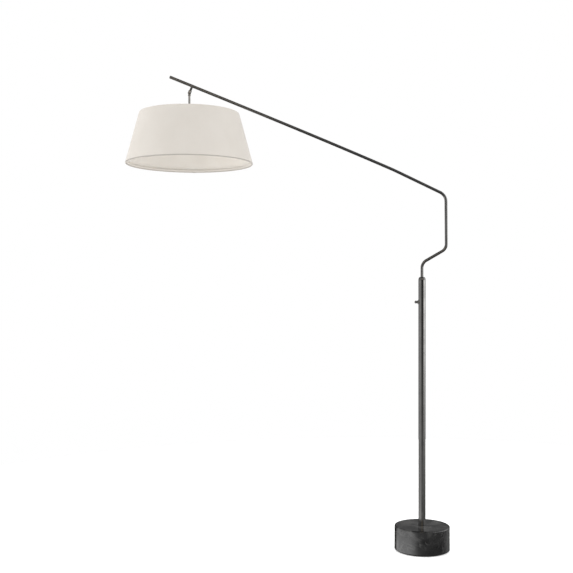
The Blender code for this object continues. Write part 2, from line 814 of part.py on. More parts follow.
def build_shade(looks, body):
    """Two wire rings, a stiff liner and the fabric skin, hemmed round both rings."""
    place = dict(on_shade_axis(body), sides=LARGE)
    low = Vector(shade_ring_centre(SHADE_BOTTOM_RADIUS, SHADE_BOTTOM + HEM_RADIUS))
    high = Vector(shade_ring_centre(SHADE_TOP_RADIUS, SHADE_TOP - HEM_RADIUS))
    for name, centre in (("shade_ring_lower", low), ("shade_ring_upper", high)):
        outline = arc(centre, SHADE_WIRE, 0, 300, 5)
        turned(name, looks["white_steel"], outline, **place)
    up = (high - low).normalized()
    out = Vector((up.y, -up.x))
    lean = math.degrees(math.atan2(out.y, out.x))
    inner_radius = SHADE_WIRE + GAP
    fold = HEM * up
    outline = arc(high, HEM_RADIUS, lean, lean + 180, HEM_STEPS)
    outline += [tuple(high - HEM_RADIUS * out - fold), tuple(high - inner_radius * out - fold)]
    outline += arc(high, inner_radius, lean + 180, lean, HEM_STEPS)
    outline += arc(low, inner_radius, lean, lean - 180, HEM_STEPS)
    outline += [tuple(low - inner_radius * out + fold), tuple(low - HEM_RADIUS * out + fold)]
    outline += arc(low, HEM_RADIUS, lean - 180, lean, HEM_STEPS)
    turned("shade_fabric", looks["linen"], outline, **place)
    outer = SHADE_WIRE * out
    inner = (SHADE_WIRE - LINER) * out
    clear = (SHADE_WIRE + 2 * GAP) * up
    corners = [high + inner - clear, high + outer - clear, low + outer + clear, low + inner + clear]
    turned("shade_liner", looks["liner"], [tuple(corner) for corner in corners], **place)


def build_socket(looks, body, key_body):
    """Cap, shell, insulating sleeve, switch block, screw shell and contact of the lamp holder."""
    place = on_shade_axis(body)
    bore = clear_of(HANG_ROD_RADIUS)
    cap_top = JAM_NUT_TOP - JAM_NUT_HEIGHT - SPIDER_HUB_THICK - 2 * GAP
    cap_bottom = cap_top - SOCKET_CAP_HEIGHT
    wall = SOCKET_WALL
    inner = SOCKET_RADIUS - wall
    skirt = cap_bottom + SOCKET_CAP_SKIRT
    face = cap_top - SOCKET_CAP_FACE_THICK
    outline = [
        (bore, cap_top),
        (SOCKET_CAP_FACE, cap_top),
        (SOCKET_RADIUS - SOCKET_CAP_SLOPE, cap_top - SOCKET_CAP_SHOULDER),
        (SOCKET_RADIUS, skirt),
        (SOCKET_RADIUS, cap_bottom),
        (inner, cap_bottom),
        (inner, skirt),
        (inner - SOCKET_CAP_SLOPE, cap_top - SOCKET_CAP_INNER_SHOULDER),
        (SOCKET_CAP_INNER_FACE, face),
        (bore, face),
    ]
    turned("socket_cap", looks["brass"], outline, **place)
    shell_top = cap_bottom - GAP
    shell = sleeve(
        "socket_shell",
        looks["brass"],
        SOCKET_RADIUS,
        inner,
        shell_top,
        SOCKET_BOTTOM,
        **place,
    )
    card_radius = inner * math.cos(math.pi / ROUND) - GAP
    card = sleeve(
        "socket_sleeve",
        looks["card"],
        card_radius,
        card_radius - wall,
        shell_top,
        SOCKET_BOTTOM + SLEEVE_INSET,
        **place,
    )
    slot = sleeve(
        "key_port_cutter",
        None,
        KEY_PORT_RADIUS,
        0,
        SOCKET_RADIUS + PORT_REACH,
        SOCKET_RADIUS - KEY_PORT_DEPTH,
        at=(PIVOT.x, 0, KEY_HEIGHT),
        along=-Y_AXIS,
    )
    boolean(shell, slot)
    boolean(card, slot)
    block_radius = (card_radius - wall) * math.cos(math.pi / ROUND) - GAP
    block_bottom = KEY_HEIGHT - BLOCK_UNDER_KEY
    block = sleeve(
        "switch_block", looks["phenolic"], block_radius, 0, shell_top, block_bottom, **place
    )
    boolean(block, slot)
    screw_radius = BULB_CAP_RADIUS + 2 * GAP
    screw_outer = screw_radius + SCREW_SHELL_WALL
    screw_top = block_bottom - GAP
    screw_bottom = SOCKET_BOTTOM + SCREW_SHELL_INSET
    outline = [
        (screw_radius, screw_bottom),
        (screw_outer, screw_bottom),
        (screw_outer, screw_top),
        (SCREW_SHELL_HOLE, screw_top),
        (SCREW_SHELL_HOLE, screw_top - SCREW_SHELL_WALL),
        (screw_radius, screw_top - SCREW_SHELL_WALL),
    ]
    brass = looks["brass"]
    turned("screw_shell", brass, outline, **place)
    sleeve("centre_contact", brass, CONTACT_RADIUS, 0, screw_top, BULB_CAP_TOP + GAP, **place)
    build_key(looks, key_body)


def build_key(looks, body):
    """The turn key of the switch: a stem through the shell and a flat grip. Local Z is -Y."""
    stem_start = SOCKET_RADIUS - KEY_STEM_INSIDE
    grip_start = SOCKET_RADIUS + KEY_GRIP_CLEAR
    place = {"at": (PIVOT.x, 0, KEY_HEIGHT), "along": -Y_AXIS, "body": body}
    sleeve("key_stem", looks["brass"], KEY_STEM_RADIUS, 0, grip_start, stem_start, **place)

    def oval(angle):
        across, up = KEY_GRIP_WIDE * math.sin(angle), KEY_GRIP_NARROW * math.cos(angle)
        return KEY_GRIP_WIDE * KEY_GRIP_NARROW / math.hypot(across, up)

    outline = [(0, KEY_REACH), (oval, KEY_REACH), (oval, grip_start + GAP), (0, grip_start + GAP)]
    turned("key_grip", looks["phenolic"], outline, **place)


def build_bulb(looks, body):
    place = on_shade_axis(body)
    outline = [
        (0, BULB_CAP_TOP),
        (BULB_TIP_RADIUS, BULB_CAP_TOP),
        (BULB_CAP_RADIUS - BULB_TIP_SLOPE, BULB_CAP_TOP - BULB_TIP_HEIGHT),
        (BULB_CAP_RADIUS, BULB_CAP_TOP - BULB_CAP_SHOULDER),
        (BULB_CAP_RADIUS, BULB_CAP_BOTTOM),
        (BULB_CAP_BORE, BULB_CAP_BOTTOM),
        (BULB_CAP_BORE, BULB_CAP_BOTTOM + BULB_CAP_DEPTH),
        (0, BULB_CAP_BOTTOM + BULB_CAP_DEPTH),
    ]
    turned("bulb_cap", looks["aluminium"], outline, **place)
    neck_top = BULB_CAP_BOTTOM - GAP
    wall = BULB_WALL
    outer = [(BULB_NECK_RADIUS, neck_top), (BULB_THROAT_RADIUS, neck_top - BULB_THROAT)]
    outer += arc((0, BULB_CENTRE), BULB_RADIUS, 44, -74, 7)
    inner = [(radius - wall, height) for radius, height in outer[:2]]
    inner += arc((0, BULB_CENTRE), BULB_RADIUS - wall, 44, -74, 7)
    tip = BULB_CENTRE - BULB_RADIUS
    outline = outer + [(0, tip), (0, tip + wall)] + inner[::-1]
    turned("bulb_glass", looks["frosted_glass"], outline, **place)


def make_looks():
    return {
        "marble": material("marble", (0.10, 0.095, 0.09), 0.15),
        "felt": material("felt", (0.02, 0.02, 0.02), 0.95),
        "bronze": material("bronze", (0.15, 0.148, 0.143), 0.25, 0.8),
        "dark_bronze": material("dark_bronze", (0.10, 0.098, 0.093), 0.25, 0.8),
        "zinc_steel": material("zinc_steel", (0.55, 0.55, 0.56), 0.4, 0.9),
        "nickel": material("nickel", (0.62, 0.62, 0.61), 0.3, 1.0),
        "brass": material("brass", (0.72, 0.55, 0.25), 0.3, 1.0),
        "aluminium": material("aluminium", (0.75, 0.75, 0.76), 0.35, 1.0),
        "white_steel": material("white_steel", (0.85, 0.85, 0.83), 0.45),
        "black_nylon": material("black_nylon", (0.02, 0.02, 0.02), 0.6),
        "white_nylon": material("white_nylon", (0.85, 0.85, 0.82), 0.5),
        "linen": material("linen", (0.80, 0.76, 0.70), 0.9),
        "liner": material("liner", (0.88, 0.86, 0.82), 0.6),
        "card": material("card", (0.45, 0.36, 0.25), 0.9),
        "phenolic": material("phenolic", (0.03, 0.03, 0.03), 0.3),
        "frosted_glass": material("frosted_glass", (0.93, 0.93, 0.91), 0.35),
        "lead": material("lead", (0.03, 0.03, 0.03), 0.6),
    }


def main():
    clear_scene()
    looks = make_looks()
    lift = joint_empty("arm_lift_axis", (0, 0, POLE_TOP))
    swing = joint_empty("arm_swivel_axis", (0, 0, POLE_TOP), lift)
    lock_slide = joint_empty("lock_pad_axis", (-ARM_RADIUS, 0, LOCK_HEIGHT))
    lock_turn = joint_empty("lock_screw_axis", (-POLE_RADIUS, 0, LOCK_HEIGHT), lock_slide)
    tilt = joint_empty("shade_tilt_axis", PIVOT, swing)
    key_turn = joint_empty("switch_key_axis", (PIVOT.x, 0, KEY_HEIGHT), tilt)
    build_base(looks)
    build_base_fixing(looks)
    build_gland(looks)
    build_pole(looks)
    build_lock(looks, lock_slide, lock_turn)
    build_stem_foot(looks, lift, swing)
    build_arm(looks, swing)
    build_hanger(looks, swing)
    build_pivot(looks, swing)
    build_tongue(looks, tilt)
    build_hang_rod(looks, tilt)
    build_spider(looks, tilt)
    build_shade(looks, tilt)
    build_socket(looks, tilt, key_turn)
    build_bulb(looks, tilt)


main()
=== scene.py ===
"""Looks of the side-arm floor lamp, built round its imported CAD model.

Metres, +Z up, in the model's own frame. Each piece here stands for a CAD node of the same shape
and size. CAD nodes that stay out of sight inside the lamp are kept, with better materials.
"""

import json
import math

import bmesh
import bpy
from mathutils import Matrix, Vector


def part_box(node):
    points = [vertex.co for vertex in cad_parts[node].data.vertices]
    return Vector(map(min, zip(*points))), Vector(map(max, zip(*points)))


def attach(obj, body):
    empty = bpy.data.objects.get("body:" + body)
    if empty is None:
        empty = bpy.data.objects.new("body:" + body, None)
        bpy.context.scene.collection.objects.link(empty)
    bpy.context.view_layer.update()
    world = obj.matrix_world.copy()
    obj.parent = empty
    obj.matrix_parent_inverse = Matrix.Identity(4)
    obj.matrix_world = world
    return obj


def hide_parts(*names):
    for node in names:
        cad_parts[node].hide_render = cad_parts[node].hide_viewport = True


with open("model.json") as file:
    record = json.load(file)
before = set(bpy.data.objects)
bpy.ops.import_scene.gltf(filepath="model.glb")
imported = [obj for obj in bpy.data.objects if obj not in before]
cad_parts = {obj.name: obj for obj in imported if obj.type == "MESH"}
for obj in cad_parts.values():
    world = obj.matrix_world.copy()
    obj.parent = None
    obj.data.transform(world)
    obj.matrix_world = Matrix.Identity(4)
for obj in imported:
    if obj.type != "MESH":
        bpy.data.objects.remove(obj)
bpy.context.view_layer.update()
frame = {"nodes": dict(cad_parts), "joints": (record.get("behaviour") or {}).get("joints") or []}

X_AXIS = Vector((1, 0, 0))
Y_AXIS = Vector((0, 1, 0))
Z_AXIS = Vector((0, 0, 1))
GAP = 0.0003  # between pieces that touch, as in the CAD model
THROUGH = 0.02  # how far a cutter reaches past a small part
CRISP = 35  # degrees between faces from which an edge is shaded sharp
BEND_STEP = 3  # degrees between the points of a bend
LOOKS = {}  # the materials, under the names of the CAD model's slots


def size(node):
    low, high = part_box(node)
    return high - low


def middle(node):
    low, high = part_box(node)
    return (low + high) / 2


def extent(node, along):
    """How far a node reaches along a direction, from its low end to its high one."""
    return sorted(corner.dot(along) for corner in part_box(node))


def clamp(value):
    return max(0.0, min(1.0, value))


def given(thing, **settings):
    """Sets attributes of anything and returns it."""
    for setting, value in settings.items():
        setattr(thing, setting, value)
    return thing


def linked(name, data):
    """A new object that puts the data in the scene."""
    obj = bpy.data.objects.new(name, data)
    bpy.context.scene.collection.objects.link(obj)
    return obj


def joint_place(name):
    return Vector(next(joint["pos_m"] for joint in frame["joints"] if joint["name"] == name))


# The arm's route, which is the CAD arm's own
ARM_RADIUS = size("arm_riser").y / 2
ARM_BORE = 0.00515
STEM_FOOT = Vector((0, 0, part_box("arm_riser")[0].z))
JOG_START = Vector((0.0, 0.0, 1.262))
JOG_END = Vector((0.107, 0.0, 1.324))
ELBOW = Vector((0.105, 0.0, 1.560))
ARM_JOINT = Vector((-0.1214, 0.0, 1.669))
ARM_BENDS = (0.038, 0.038, 0.045)
BOOM_SLOPE = math.tan(math.radians(23.54))
BOOM_SAG = 0.0169
BOOM_TIP_X = -1.109
END_CAP_LENGTH = 0.002
HANGER_X = -1.0101
HANGER_TILT = math.atan(BOOM_SLOPE - 1.5 * BOOM_SAG / (ARM_JOINT.x - HANGER_X))
HANGER_UP = Vector((math.sin(HANGER_TILT), 0, math.cos(HANGER_TILT)))
HANGER_LENGTH = 0.033
PIVOT = joint_place("shade_tilt")
PIVOT_HOLE = 0.0023
KEY_PLACE = joint_place("switch_key_turn")
LOCK_PLACE = Vector((0, 0, joint_place("lock_screw_turn").z))

ROD_HOLE = 0.0052  # in what is threaded on the hanging rod

# The shade's wire rings and its cut sheet
WIRE = 0.0018
SKIN = 0.0007
SKIN_MIDDLE = WIRE + 0.00085
HEM = 0.009
LAP = math.radians(2.75)
LAP_RISE = 0.03
HEM_SHARES = (0.33, 0.66, 1)  # where the hem's rows lie
ROLL_STEPS = 14  # round half a wire
CONE_STEPS = 40  # down the cone
COLUMNS = 288  # round it

CAMERA_PLACE = (-0.5957, -4.10, 1.1165)
CAMERA_LENS = 58.6
CAMERA_SHIFT = 0.0166


# Materials


class Nodes:
    """A node tree being built."""

    def __init__(self, tree):
        self.tree = tree

    def feed(self, node, sockets):
        for name, value in sockets.items():
            socket = node.inputs[name if isinstance(name, int) else name.replace("_", " ")]
            if isinstance(value, bpy.types.NodeSocket):
                self.tree.links.new(value, socket)
            else:
                socket.default_value = value

    def add(self, kind, output, sockets=None, **settings):
        """Adds a node and returns one of its outputs."""
        node = given(self.tree.nodes.new(kind), **settings)
        self.feed(node, sockets or {})
        return node.outputs[output]

    def sum(self, operation, *values):
        sockets = dict(enumerate(values))
        return self.add("ShaderNodeMath", "Value", sockets, operation=operation)


class Look(Nodes):
    """A material being made: its Principled shader and the textures that feed it."""

    def __init__(self, name, **sockets):
        self.material = bpy.data.materials.new(name)
        self.material.use_nodes = True
        super().__init__(self.material.node_tree)
        self.shader = self.tree.nodes["Principled BSDF"]
        self.feed(self.shader, sockets)
        self.place = self.add("ShaderNodeTexCoord", "Object")

    def uv(self, name):
        return self.add("ShaderNodeUVMap", "UV", uv_map=name)

    def stretched(self, scale, vector=None, location=(0, 0, 0), rotation=(0, 0, 0)):
        sockets = {"Vector": vector or self.place, "Scale": scale}
        sockets.update({"Location": location, "Rotation": rotation})
        return self.add("ShaderNodeMapping", "Vector", sockets)

    def noise(self, scale, vector=None, detail=3.0, rough=0.5, distortion=0.0):
        sockets = {"Vector": vector or self.place, "Scale": scale, "Detail": detail}
        sockets.update({"Roughness": rough, "Distortion": distortion})
        return self.add("ShaderNodeTexNoise", "Fac", sockets)

    def spread(self, value, low, high, new_low=0.0, new_high=1.0, smooth=False):
        """The value taken from one range to another, and clamped there."""
        sockets = {"Value": value, "From Min": low, "From Max": high}
        sockets.update({"To Min": new_low, "To Max": new_high})
        kind = "SMOOTHSTEP" if smooth else "LINEAR"
        return self.add("ShaderNodeMapRange", "Result", sockets, interpolation_type=kind)

    def mix(self, factor, first, second, kind="MIX"):
        first, second = (
            value if isinstance(value, bpy.types.NodeSocket) else (*value, 1)
            for value in (first, second)
        )
        sockets = {0: factor, 6: first, 7: second}
        return self.add("ShaderNodeMix", 2, sockets, data_type="RGBA", blend_type=kind)

    def blend(self, first, first_share, second, second_share):
        """Two values added up, each times its share."""
        first = self.sum("MULTIPLY", first, first_share)
        return self.sum("ADD", first, self.sum("MULTIPLY", second, second_share))

    def grey(self, tone):
        return self.add("ShaderNodeCombineColor", "Color", {0: tone, 1: tone, 2: tone})

    def colour(self, value):
        self.feed(self.shader, {"Base Color": value})

    def roughness(self, value, low, high):
        self.feed(self.shader, {"Roughness": self.spread(value, 0.25, 0.75, low, high)})

    def bump(self, height, distance, strength=1.0):
        sockets = {"Height": height, "Distance": distance, "Strength": strength}
        before = self.shader.inputs["Normal"]
        if before.links:
            sockets["Normal"] = before.links[0].from_socket
        self.feed(self.shader, {"Normal": self.add("ShaderNodeBump", "Normal", sockets)})

    def worn_edges(self, low=0.515, high=0.56):
        """1 on sharp outer edges, broken up by noise."""
        bulge = self.add("ShaderNodeNewGeometry", "Pointiness")
        edge = self.spread(bulge, low, high)
        return self.sum("MULTIPLY", edge, self.spread(self.noise(900, detail=2), 0.35, 0.6))


def marble_look(name):
    """Polished black stone with soft grey clouds and a few broad veins."""
    look = Look(name, Metallic=0.0, IOR=1.5)
    clouds_at = look.stretched((1, 1, 1.5), location=(3.1, 0.4, 1.7), rotation=(0.3, 0.5, 0.2))
    clouds = look.noise(9, clouds_at, detail=4, rough=0.5, distortion=0.7)
    stone = look.mix(look.spread(clouds, 0.40, 0.75), (0.003, 0.003, 0.0032), (0.018, 0.018, 0.018))
    for scale, width, strength, turn, tone in (
        (5.0, 0.045, 0.70, 4.1, (0.090, 0.089, 0.087)),
        (10.0, 0.035, 0.50, 0.9, (0.080, 0.079, 0.077)),
        (22.0, 0.022, 0.35, 3.3, (0.110, 0.109, 0.106)),
    ):
        at = look.stretched((1, 1, 1.25), location=(turn, 2 * turn, -turn), rotation=(turn, 0.6, turn))
        field = look.noise(scale, at, detail=3, rough=0.45, distortion=0.35)
        off = look.sum("ABSOLUTE", look.sum("SUBTRACT", field, 0.5))
        vein = look.spread(off, 0.0, width, 1.0, 0.0, smooth=True)
        patch = look.spread(look.noise(scale * 0.8, at, detail=2), 0.42, 0.62, 0.0, strength)
        stone = look.mix(look.sum("MULTIPLY", vein, patch), stone, tone)
    grain = look.spread(look.noise(420, detail=5, rough=0.7), 0.3, 0.7, 0.85, 1.15)
    look.colour(look.mix(1.0, stone, look.grey(grain), "MULTIPLY"))
    look.roughness(look.noise(60, detail=4), 0.045, 0.09)
    look.bump(look.noise(25, detail=3), 0.0002, 0.15)
    return look.material


def tube_metal_look(name, light, dark, low, high, lacquer=0.0):
    """A metal tube, polished along its length, with a faint patina."""
    look = Look(name, Metallic=1.0, Coat_Weight=lacquer, Coat_Roughness=0.12)
    patina = look.spread(look.noise(26, detail=5, rough=0.6), 0.35, 0.65, smooth=True)
    streaks_at = look.stretched((2600, 22, 1), look.uv("grain"))
    streaks = look.noise(1, streaks_at, detail=3, rough=0.6)
    colour = look.mix(patina, light, dark)
    tone = look.spread(streaks, 0.3, 0.7, 0.90, 1.08)
    look.colour(look.mix(1.0, colour, look.grey(tone), "MULTIPLY"))
    look.roughness(look.blend(streaks, 0.6, patina, 0.4), low, high)
    look.bump(streaks, 0.00002, 0.25)
    return look.material


def turned_metal_look(name, light, dark, low, high, lines=0.25, worn=None):
    """A metal part turned on a lathe: fine rings, a patchy stain and wear on its edges."""
    look = Look(name, Metallic=1.0)
    stain = look.spread(look.noise(140, detail=5, rough=0.65), 0.35, 0.68, smooth=True)
    rings = look.noise(1, look.stretched((30, 5200, 1), look.uv("grain")), detail=2)
    colour = look.mix(stain, light, dark)
    if worn:
        colour = look.mix(look.worn_edges(), colour, worn)
    look.colour(colour)
    look.roughness(look.blend(rings, 0.5, stain, 0.5), low, high)
    look.bump(rings, 0.00002, lines)
    return look.material


def plain_metal_look(name, light, dark, low, high):
    """Plated or rolled metal out of sight: mottled, with scratches in all directions."""
    look = Look(name, Metallic=1.0)
    mottle = look.noise(180, detail=6, rough=0.7, distortion=0.4)
    scratches = look.noise(1, look.stretched((900, 90, 900), rotation=(0.4, 0.7, 0.2)), detail=4)
    look.colour(look.mix(look.spread(mottle, 0.35, 0.65), light, dark))
    look.roughness(look.blend(mottle, 0.5, scratches, 0.5), low, high)
    look.bump(scratches, 0.00003, 0.3)
    return look.material


def coated_look(name, colour, other, low, high, texture=700, depth=0.00003, coat=0.0):
    """Paint or moulded plastic: a slightly uneven colour and an orange-peel surface."""
    look = Look(name, Coat_Weight=coat, Coat_Roughness=0.1)
    uneven = look.noise(70, detail=5, rough=0.6)
    look.colour(look.mix(look.spread(uneven, 0.35, 0.65), colour, other))
    look.roughness(look.noise(160, detail=4), low, high)
    look.bump(look.noise(texture, detail=3, rough=0.6), depth, 0.6)
    return look.material


def linen_look(name):
    """Woven linen on the cut's own threads, with slubs, flecks and uneven tension, and painted shade in
    the weave's low threads and under the lower hem.
    """
    look = Look(name, Sheen_Weight=0.18, Sheen_Roughness=0.45)
    cloth = look.uv("cloth")
    threads = 1 / 0.0009
    weave = []
    for direction in "XY":
        sockets = {"Vector": cloth, "Scale": threads * 5 / math.pi / 10, "Distortion": 0.0}
        weave.append(look.add("ShaderNodeTexWave", "Fac", sockets, bands_direction=direction))
    over = look.add("ShaderNodeTexChecker", "Fac", {"Vector": cloth, "Scale": threads})
    under = look.sum("SUBTRACT", 1.0, over)
    height = look.sum("ADD", look.sum("MULTIPLY", weave[0], over), look.sum("MULTIPLY", weave[1], under))
    slubs = []
    for scale in ((26, 1500, 1), (1500, 20, 1)):
        field = look.noise(1, look.stretched(scale, cloth), detail=2, rough=0.4)
        slubs.append(look.spread(field, 0.60, 0.76, smooth=True))
    slub = look.sum("MAXIMUM", *slubs)
    fine = look.noise(1, look.stretched((900, 260, 1), cloth), detail=3)
    uneven = look.noise(1, look.stretched((9, 7, 1), cloth), detail=3)
    colour = look.mix(look.spread(uneven, 0.35, 0.65), (0.745, 0.706, 0.655), (0.715, 0.674, 0.621))
    colour = look.mix(look.spread(fine, 0.35, 0.7, 0.0, 0.35), colour, (0.63, 0.585, 0.525))
    colour = look.mix(look.sum("MULTIPLY", slub, 0.30), colour, (0.60, 0.55, 0.485))
    # Painted shade: the weave's low threads are darkened, most where the weave is lowest.
    colour = look.mix(look.spread(height, 0.0, 0.5, 0.22, 0.0), colour, (0.42, 0.385, 0.34))
    # Painted shade: the fabric's lowest few millimetres, the underside of the lower hem's roll, are
    # darkened towards the bottom.
    level = look.add("ShaderNodeSeparateXYZ", "Z", {"Vector": look.place})
    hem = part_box("shade_fabric")[0].z
    painted_hem_shade = look.spread(level, hem + 0.0032, hem + 0.0055, 0.62, 0.0, smooth=True)
    look.colour(look.mix(painted_hem_shade, colour, (0.25, 0.225, 0.20)))
    look.roughness(fine, 0.82, 0.95)
    look.bump(look.sum("ADD", height, look.sum("MULTIPLY", slub, 0.9)), 0.00018, 0.5)
    look.bump(uneven, 0.0012, 0.12)
    return look.material


def liner_look(name):
    """White plastic sheet behind the fabric: satin, with the weave just showing through."""
    look = Look(name, Subsurface_Weight=0.15, Subsurface_Radius=(0.004, 0.0035, 0.003))
    uneven = look.noise(14, detail=4)
    weave = look.noise(950, detail=2)
    colour = look.mix(look.spread(uneven, 0.35, 0.65), (0.765, 0.728, 0.675), (0.73, 0.69, 0.635))
    look.colour(look.mix(look.spread(weave, 0.4, 0.7, 0.0, 0.25), colour, (0.66, 0.62, 0.56)))
    look.roughness(look.noise(90, detail=3), 0.5, 0.65)
    look.bump(weave, 0.00006, 0.5)
    look.bump(uneven, 0.0008, 0.15)
    return look.material


def felt_look(name):
    look = Look(name, Sheen_Weight=0.4, Sheen_Roughness=0.6)
    fibres = look.noise(1400, detail=6, rough=0.75, distortion=0.8)
    look.colour(look.mix(look.spread(fibres, 0.35, 0.7), (0.012, 0.012, 0.012), (0.05, 0.048, 0.046)))
    look.roughness(fibres, 0.9, 1.0)
    look.bump(fibres, 0.0006, 0.8)
    return look.material


def card_look(name):
    look = Look(name)
    fibres = look.noise(1, look.stretched((700, 700, 160)), detail=5, rough=0.7)
    look.colour(look.mix(look.spread(fibres, 0.35, 0.7), (0.46, 0.36, 0.24), (0.33, 0.25, 0.16)))
    look.roughness(fibres, 0.8, 0.95)
    look.bump(fibres, 0.0002, 0.6)
    return look.material


def glass_look(name):
    """A bulb with a baked white powder inside: light spreads in it, and its skin is glossy."""
    look = Look(name, Subsurface_Weight=0.6, Subsurface_Radius=(0.012, 0.012, 0.012))
    powder = look.noise(55, detail=6, rough=0.6)
    look.colour(look.mix(look.spread(powder, 0.35, 0.65), (0.90, 0.90, 0.88), (0.83, 0.83, 0.81)))
    look.roughness(look.noise(300, detail=3), 0.16, 0.26)
    look.bump(look.noise(40, detail=2), 0.0002, 0.2)
    return look.material


def make_looks():
    """Every material, under its slot's name."""
    makers = {
        "marble": (marble_look,),
        "felt": (felt_look,),
        "bronze": (tube_metal_look, (0.142, 0.140, 0.136), (0.120, 0.118, 0.115), 0.10, 0.20, 0.1),
        "dark_bronze": (
            turned_metal_look, (0.230, 0.224, 0.213), (0.155, 0.150, 0.143), 0.14, 0.28, 0.25,
            (0.34, 0.33, 0.31),
        ),
        "zinc_steel": (plain_metal_look, (0.56, 0.57, 0.59), (0.40, 0.41, 0.43), 0.28, 0.5),
        "nickel": (tube_metal_look, (0.32, 0.313, 0.30), (0.26, 0.254, 0.244), 0.16, 0.30),
        "brass": (
            turned_metal_look, (0.70, 0.52, 0.24), (0.50, 0.35, 0.15), 0.20, 0.42, 0.3, (0.86, 0.70, 0.40)
        ),
        "aluminium": (plain_metal_look, (0.80, 0.80, 0.81), (0.64, 0.64, 0.66), 0.25, 0.45),
        "white_steel": (
            coated_look, (0.80, 0.79, 0.76), (0.74, 0.73, 0.70), 0.35, 0.5, 700, 0.00003, 0.15
        ),
        "black_nylon": (coated_look, (0.018, 0.018, 0.019), (0.030, 0.030, 0.031), 0.45, 0.65, 1500),
        "white_nylon": (coated_look, (0.80, 0.79, 0.75), (0.72, 0.71, 0.66), 0.4, 0.55),
        "linen": (linen_look,),
        "liner": (liner_look,),
        "card": (card_look,),
        "phenolic": (coated_look, (0.022, 0.016, 0.013), (0.045, 0.030, 0.022), 0.18, 0.32, 300),
        "frosted_glass": (glass_look,),
        "lead": (coated_look, (0.02, 0.02, 0.021), (0.034, 0.034, 0.035), 0.5, 0.7, 1200, 0.00005),
    }
    return {name: maker(name, *details) for name, (maker, *details) in makers.items()}


# Shapes


def fillet(before, corner, after, radius, steps=None):
    """Points of the arc that rounds a corner between two straight runs."""
    into = (corner - before).normalized()
    out = (after - corner).normalized()
    turn = into.angle(out)
    side = (out - into * out.dot(into)).normalized()
    start = corner - into * radius * math.tan(turn / 2)
    steps = steps or max(2, round(math.degrees(turn) / BEND_STEP))
    points = []
    for step in range(steps + 1):
        angle = turn * step / steps
        points.append(start + radius * (math.sin(angle) * into + (1 - math.cos(angle)) * side))
    return points


def softened(*corners, steps=4):
    """A closed outline whose corners, given as (radius, height, rounding), are rounded off."""
    points = []
    for index, (radius, height, rounding) in enumerate(corners):
        if not rounding:
            points.append((radius, height))
            continue
        here = Vector((radius, height))
        before = Vector(corners[index - 1][:2])
        after = Vector(corners[(index + 1) % len(corners)][:2])
        points += [tuple(point) for point in fillet(before, here, after, rounding, steps)]
    return points


def arc(centre, radius, start, end, steps):
    """Points of an arc in the (radius, height) plane, with its angles in degrees."""
    points = []
    for step in range(steps + 1):
        angle = math.radians(start + (end - start) * step / steps)
        points.append((centre[0] + radius * math.cos(angle), centre[1] + radius * math.sin(angle)))
    return points


def rounded_path(corners, bends):
    """A path through the corners, each inner one rounded to its bend radius."""
    path = [corners[0]]
    for before, corner, after, bend in zip(corners, corners[1:], corners[2:], bends):
        path += fillet(before, corner, after, bend)
    path.append(corners[-1])
    return path


def mesh_object(name, mesh, crisp=CRISP):
    """Turns a bmesh into an object of the scene, shaded smooth between its crisp edges."""
    bmesh.ops.recalc_face_normals(mesh, faces=mesh.faces)
    data = bpy.data.meshes.new(name)
    mesh.to_mesh(data)
    mesh.free()
    data.shade_smooth()
    data.set_sharp_from_angle(angle=math.radians(crisp))
    return linked(name, data)


def piece(node, slot, body, mesh, name=None, crisp=CRISP):
    """A finished piece that stands for a CAD node and rides its body."""
    obj = mesh_object(name or f"{node}_fine", mesh, crisp)
    obj.data.materials.append(LOOKS[slot])
    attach(obj, body)
    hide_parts(node)
    return obj


def turned(profile, sides=64, at=(0, 0, 0), along=Z_AXIS, warp=None):
    """A turned solid as a bmesh. The profile is a closed outline of (radius, height) points.

    A warp takes radius, height and angle to a new radius and height: flutes, facets or a thread.
    """
    mesh = bmesh.new()
    grain = mesh.loops.layers.uv.new("grain")
    spin = Z_AXIS.rotation_difference(Vector(along)).to_matrix()
    origin = Vector(at)
    girth = math.tau * max(radius for radius, height in profile)
    rings, lengths = [], [0.0]
    for index, (radius, height) in enumerate(profile):
        if radius == 0:
            rings.append([mesh.verts.new(origin + spin @ Vector((0, 0, height)))] * sides)
        else:
            ring = []
            for side in range(sides):
                angle = side * math.tau / sides
                reach, level = warp(radius, height, angle) if warp else (radius, height)
                spot = Vector((reach * math.cos(angle), reach * math.sin(angle), level))
                ring.append(mesh.verts.new(origin + spin @ spot))
            rings.append(ring)
        after = profile[(index + 1) % len(profile)]
        lengths.append(lengths[-1] + math.dist((radius, height), after))
    for index in range(len(rings)):
        upper, lower = rings[index], rings[(index + 1) % len(rings)]
        for side in range(sides):
            after = (side + 1) % sides
            near, far = girth * side / sides, girth * (side + 1) / sides
            corners = {}
            corners[upper[side]] = (near, lengths[index])
            corners.setdefault(upper[after], (far, lengths[index]))
            corners.setdefault(lower[after], (far, lengths[index + 1]))
            corners.setdefault(lower[side], (near, lengths[index + 1]))
            if len(corners) > 2:
                face = mesh.faces.new(list(corners))
                for loop, uv in zip(face.loops, corners.values()):
                    loop[grain].uv = uv
    return mesh


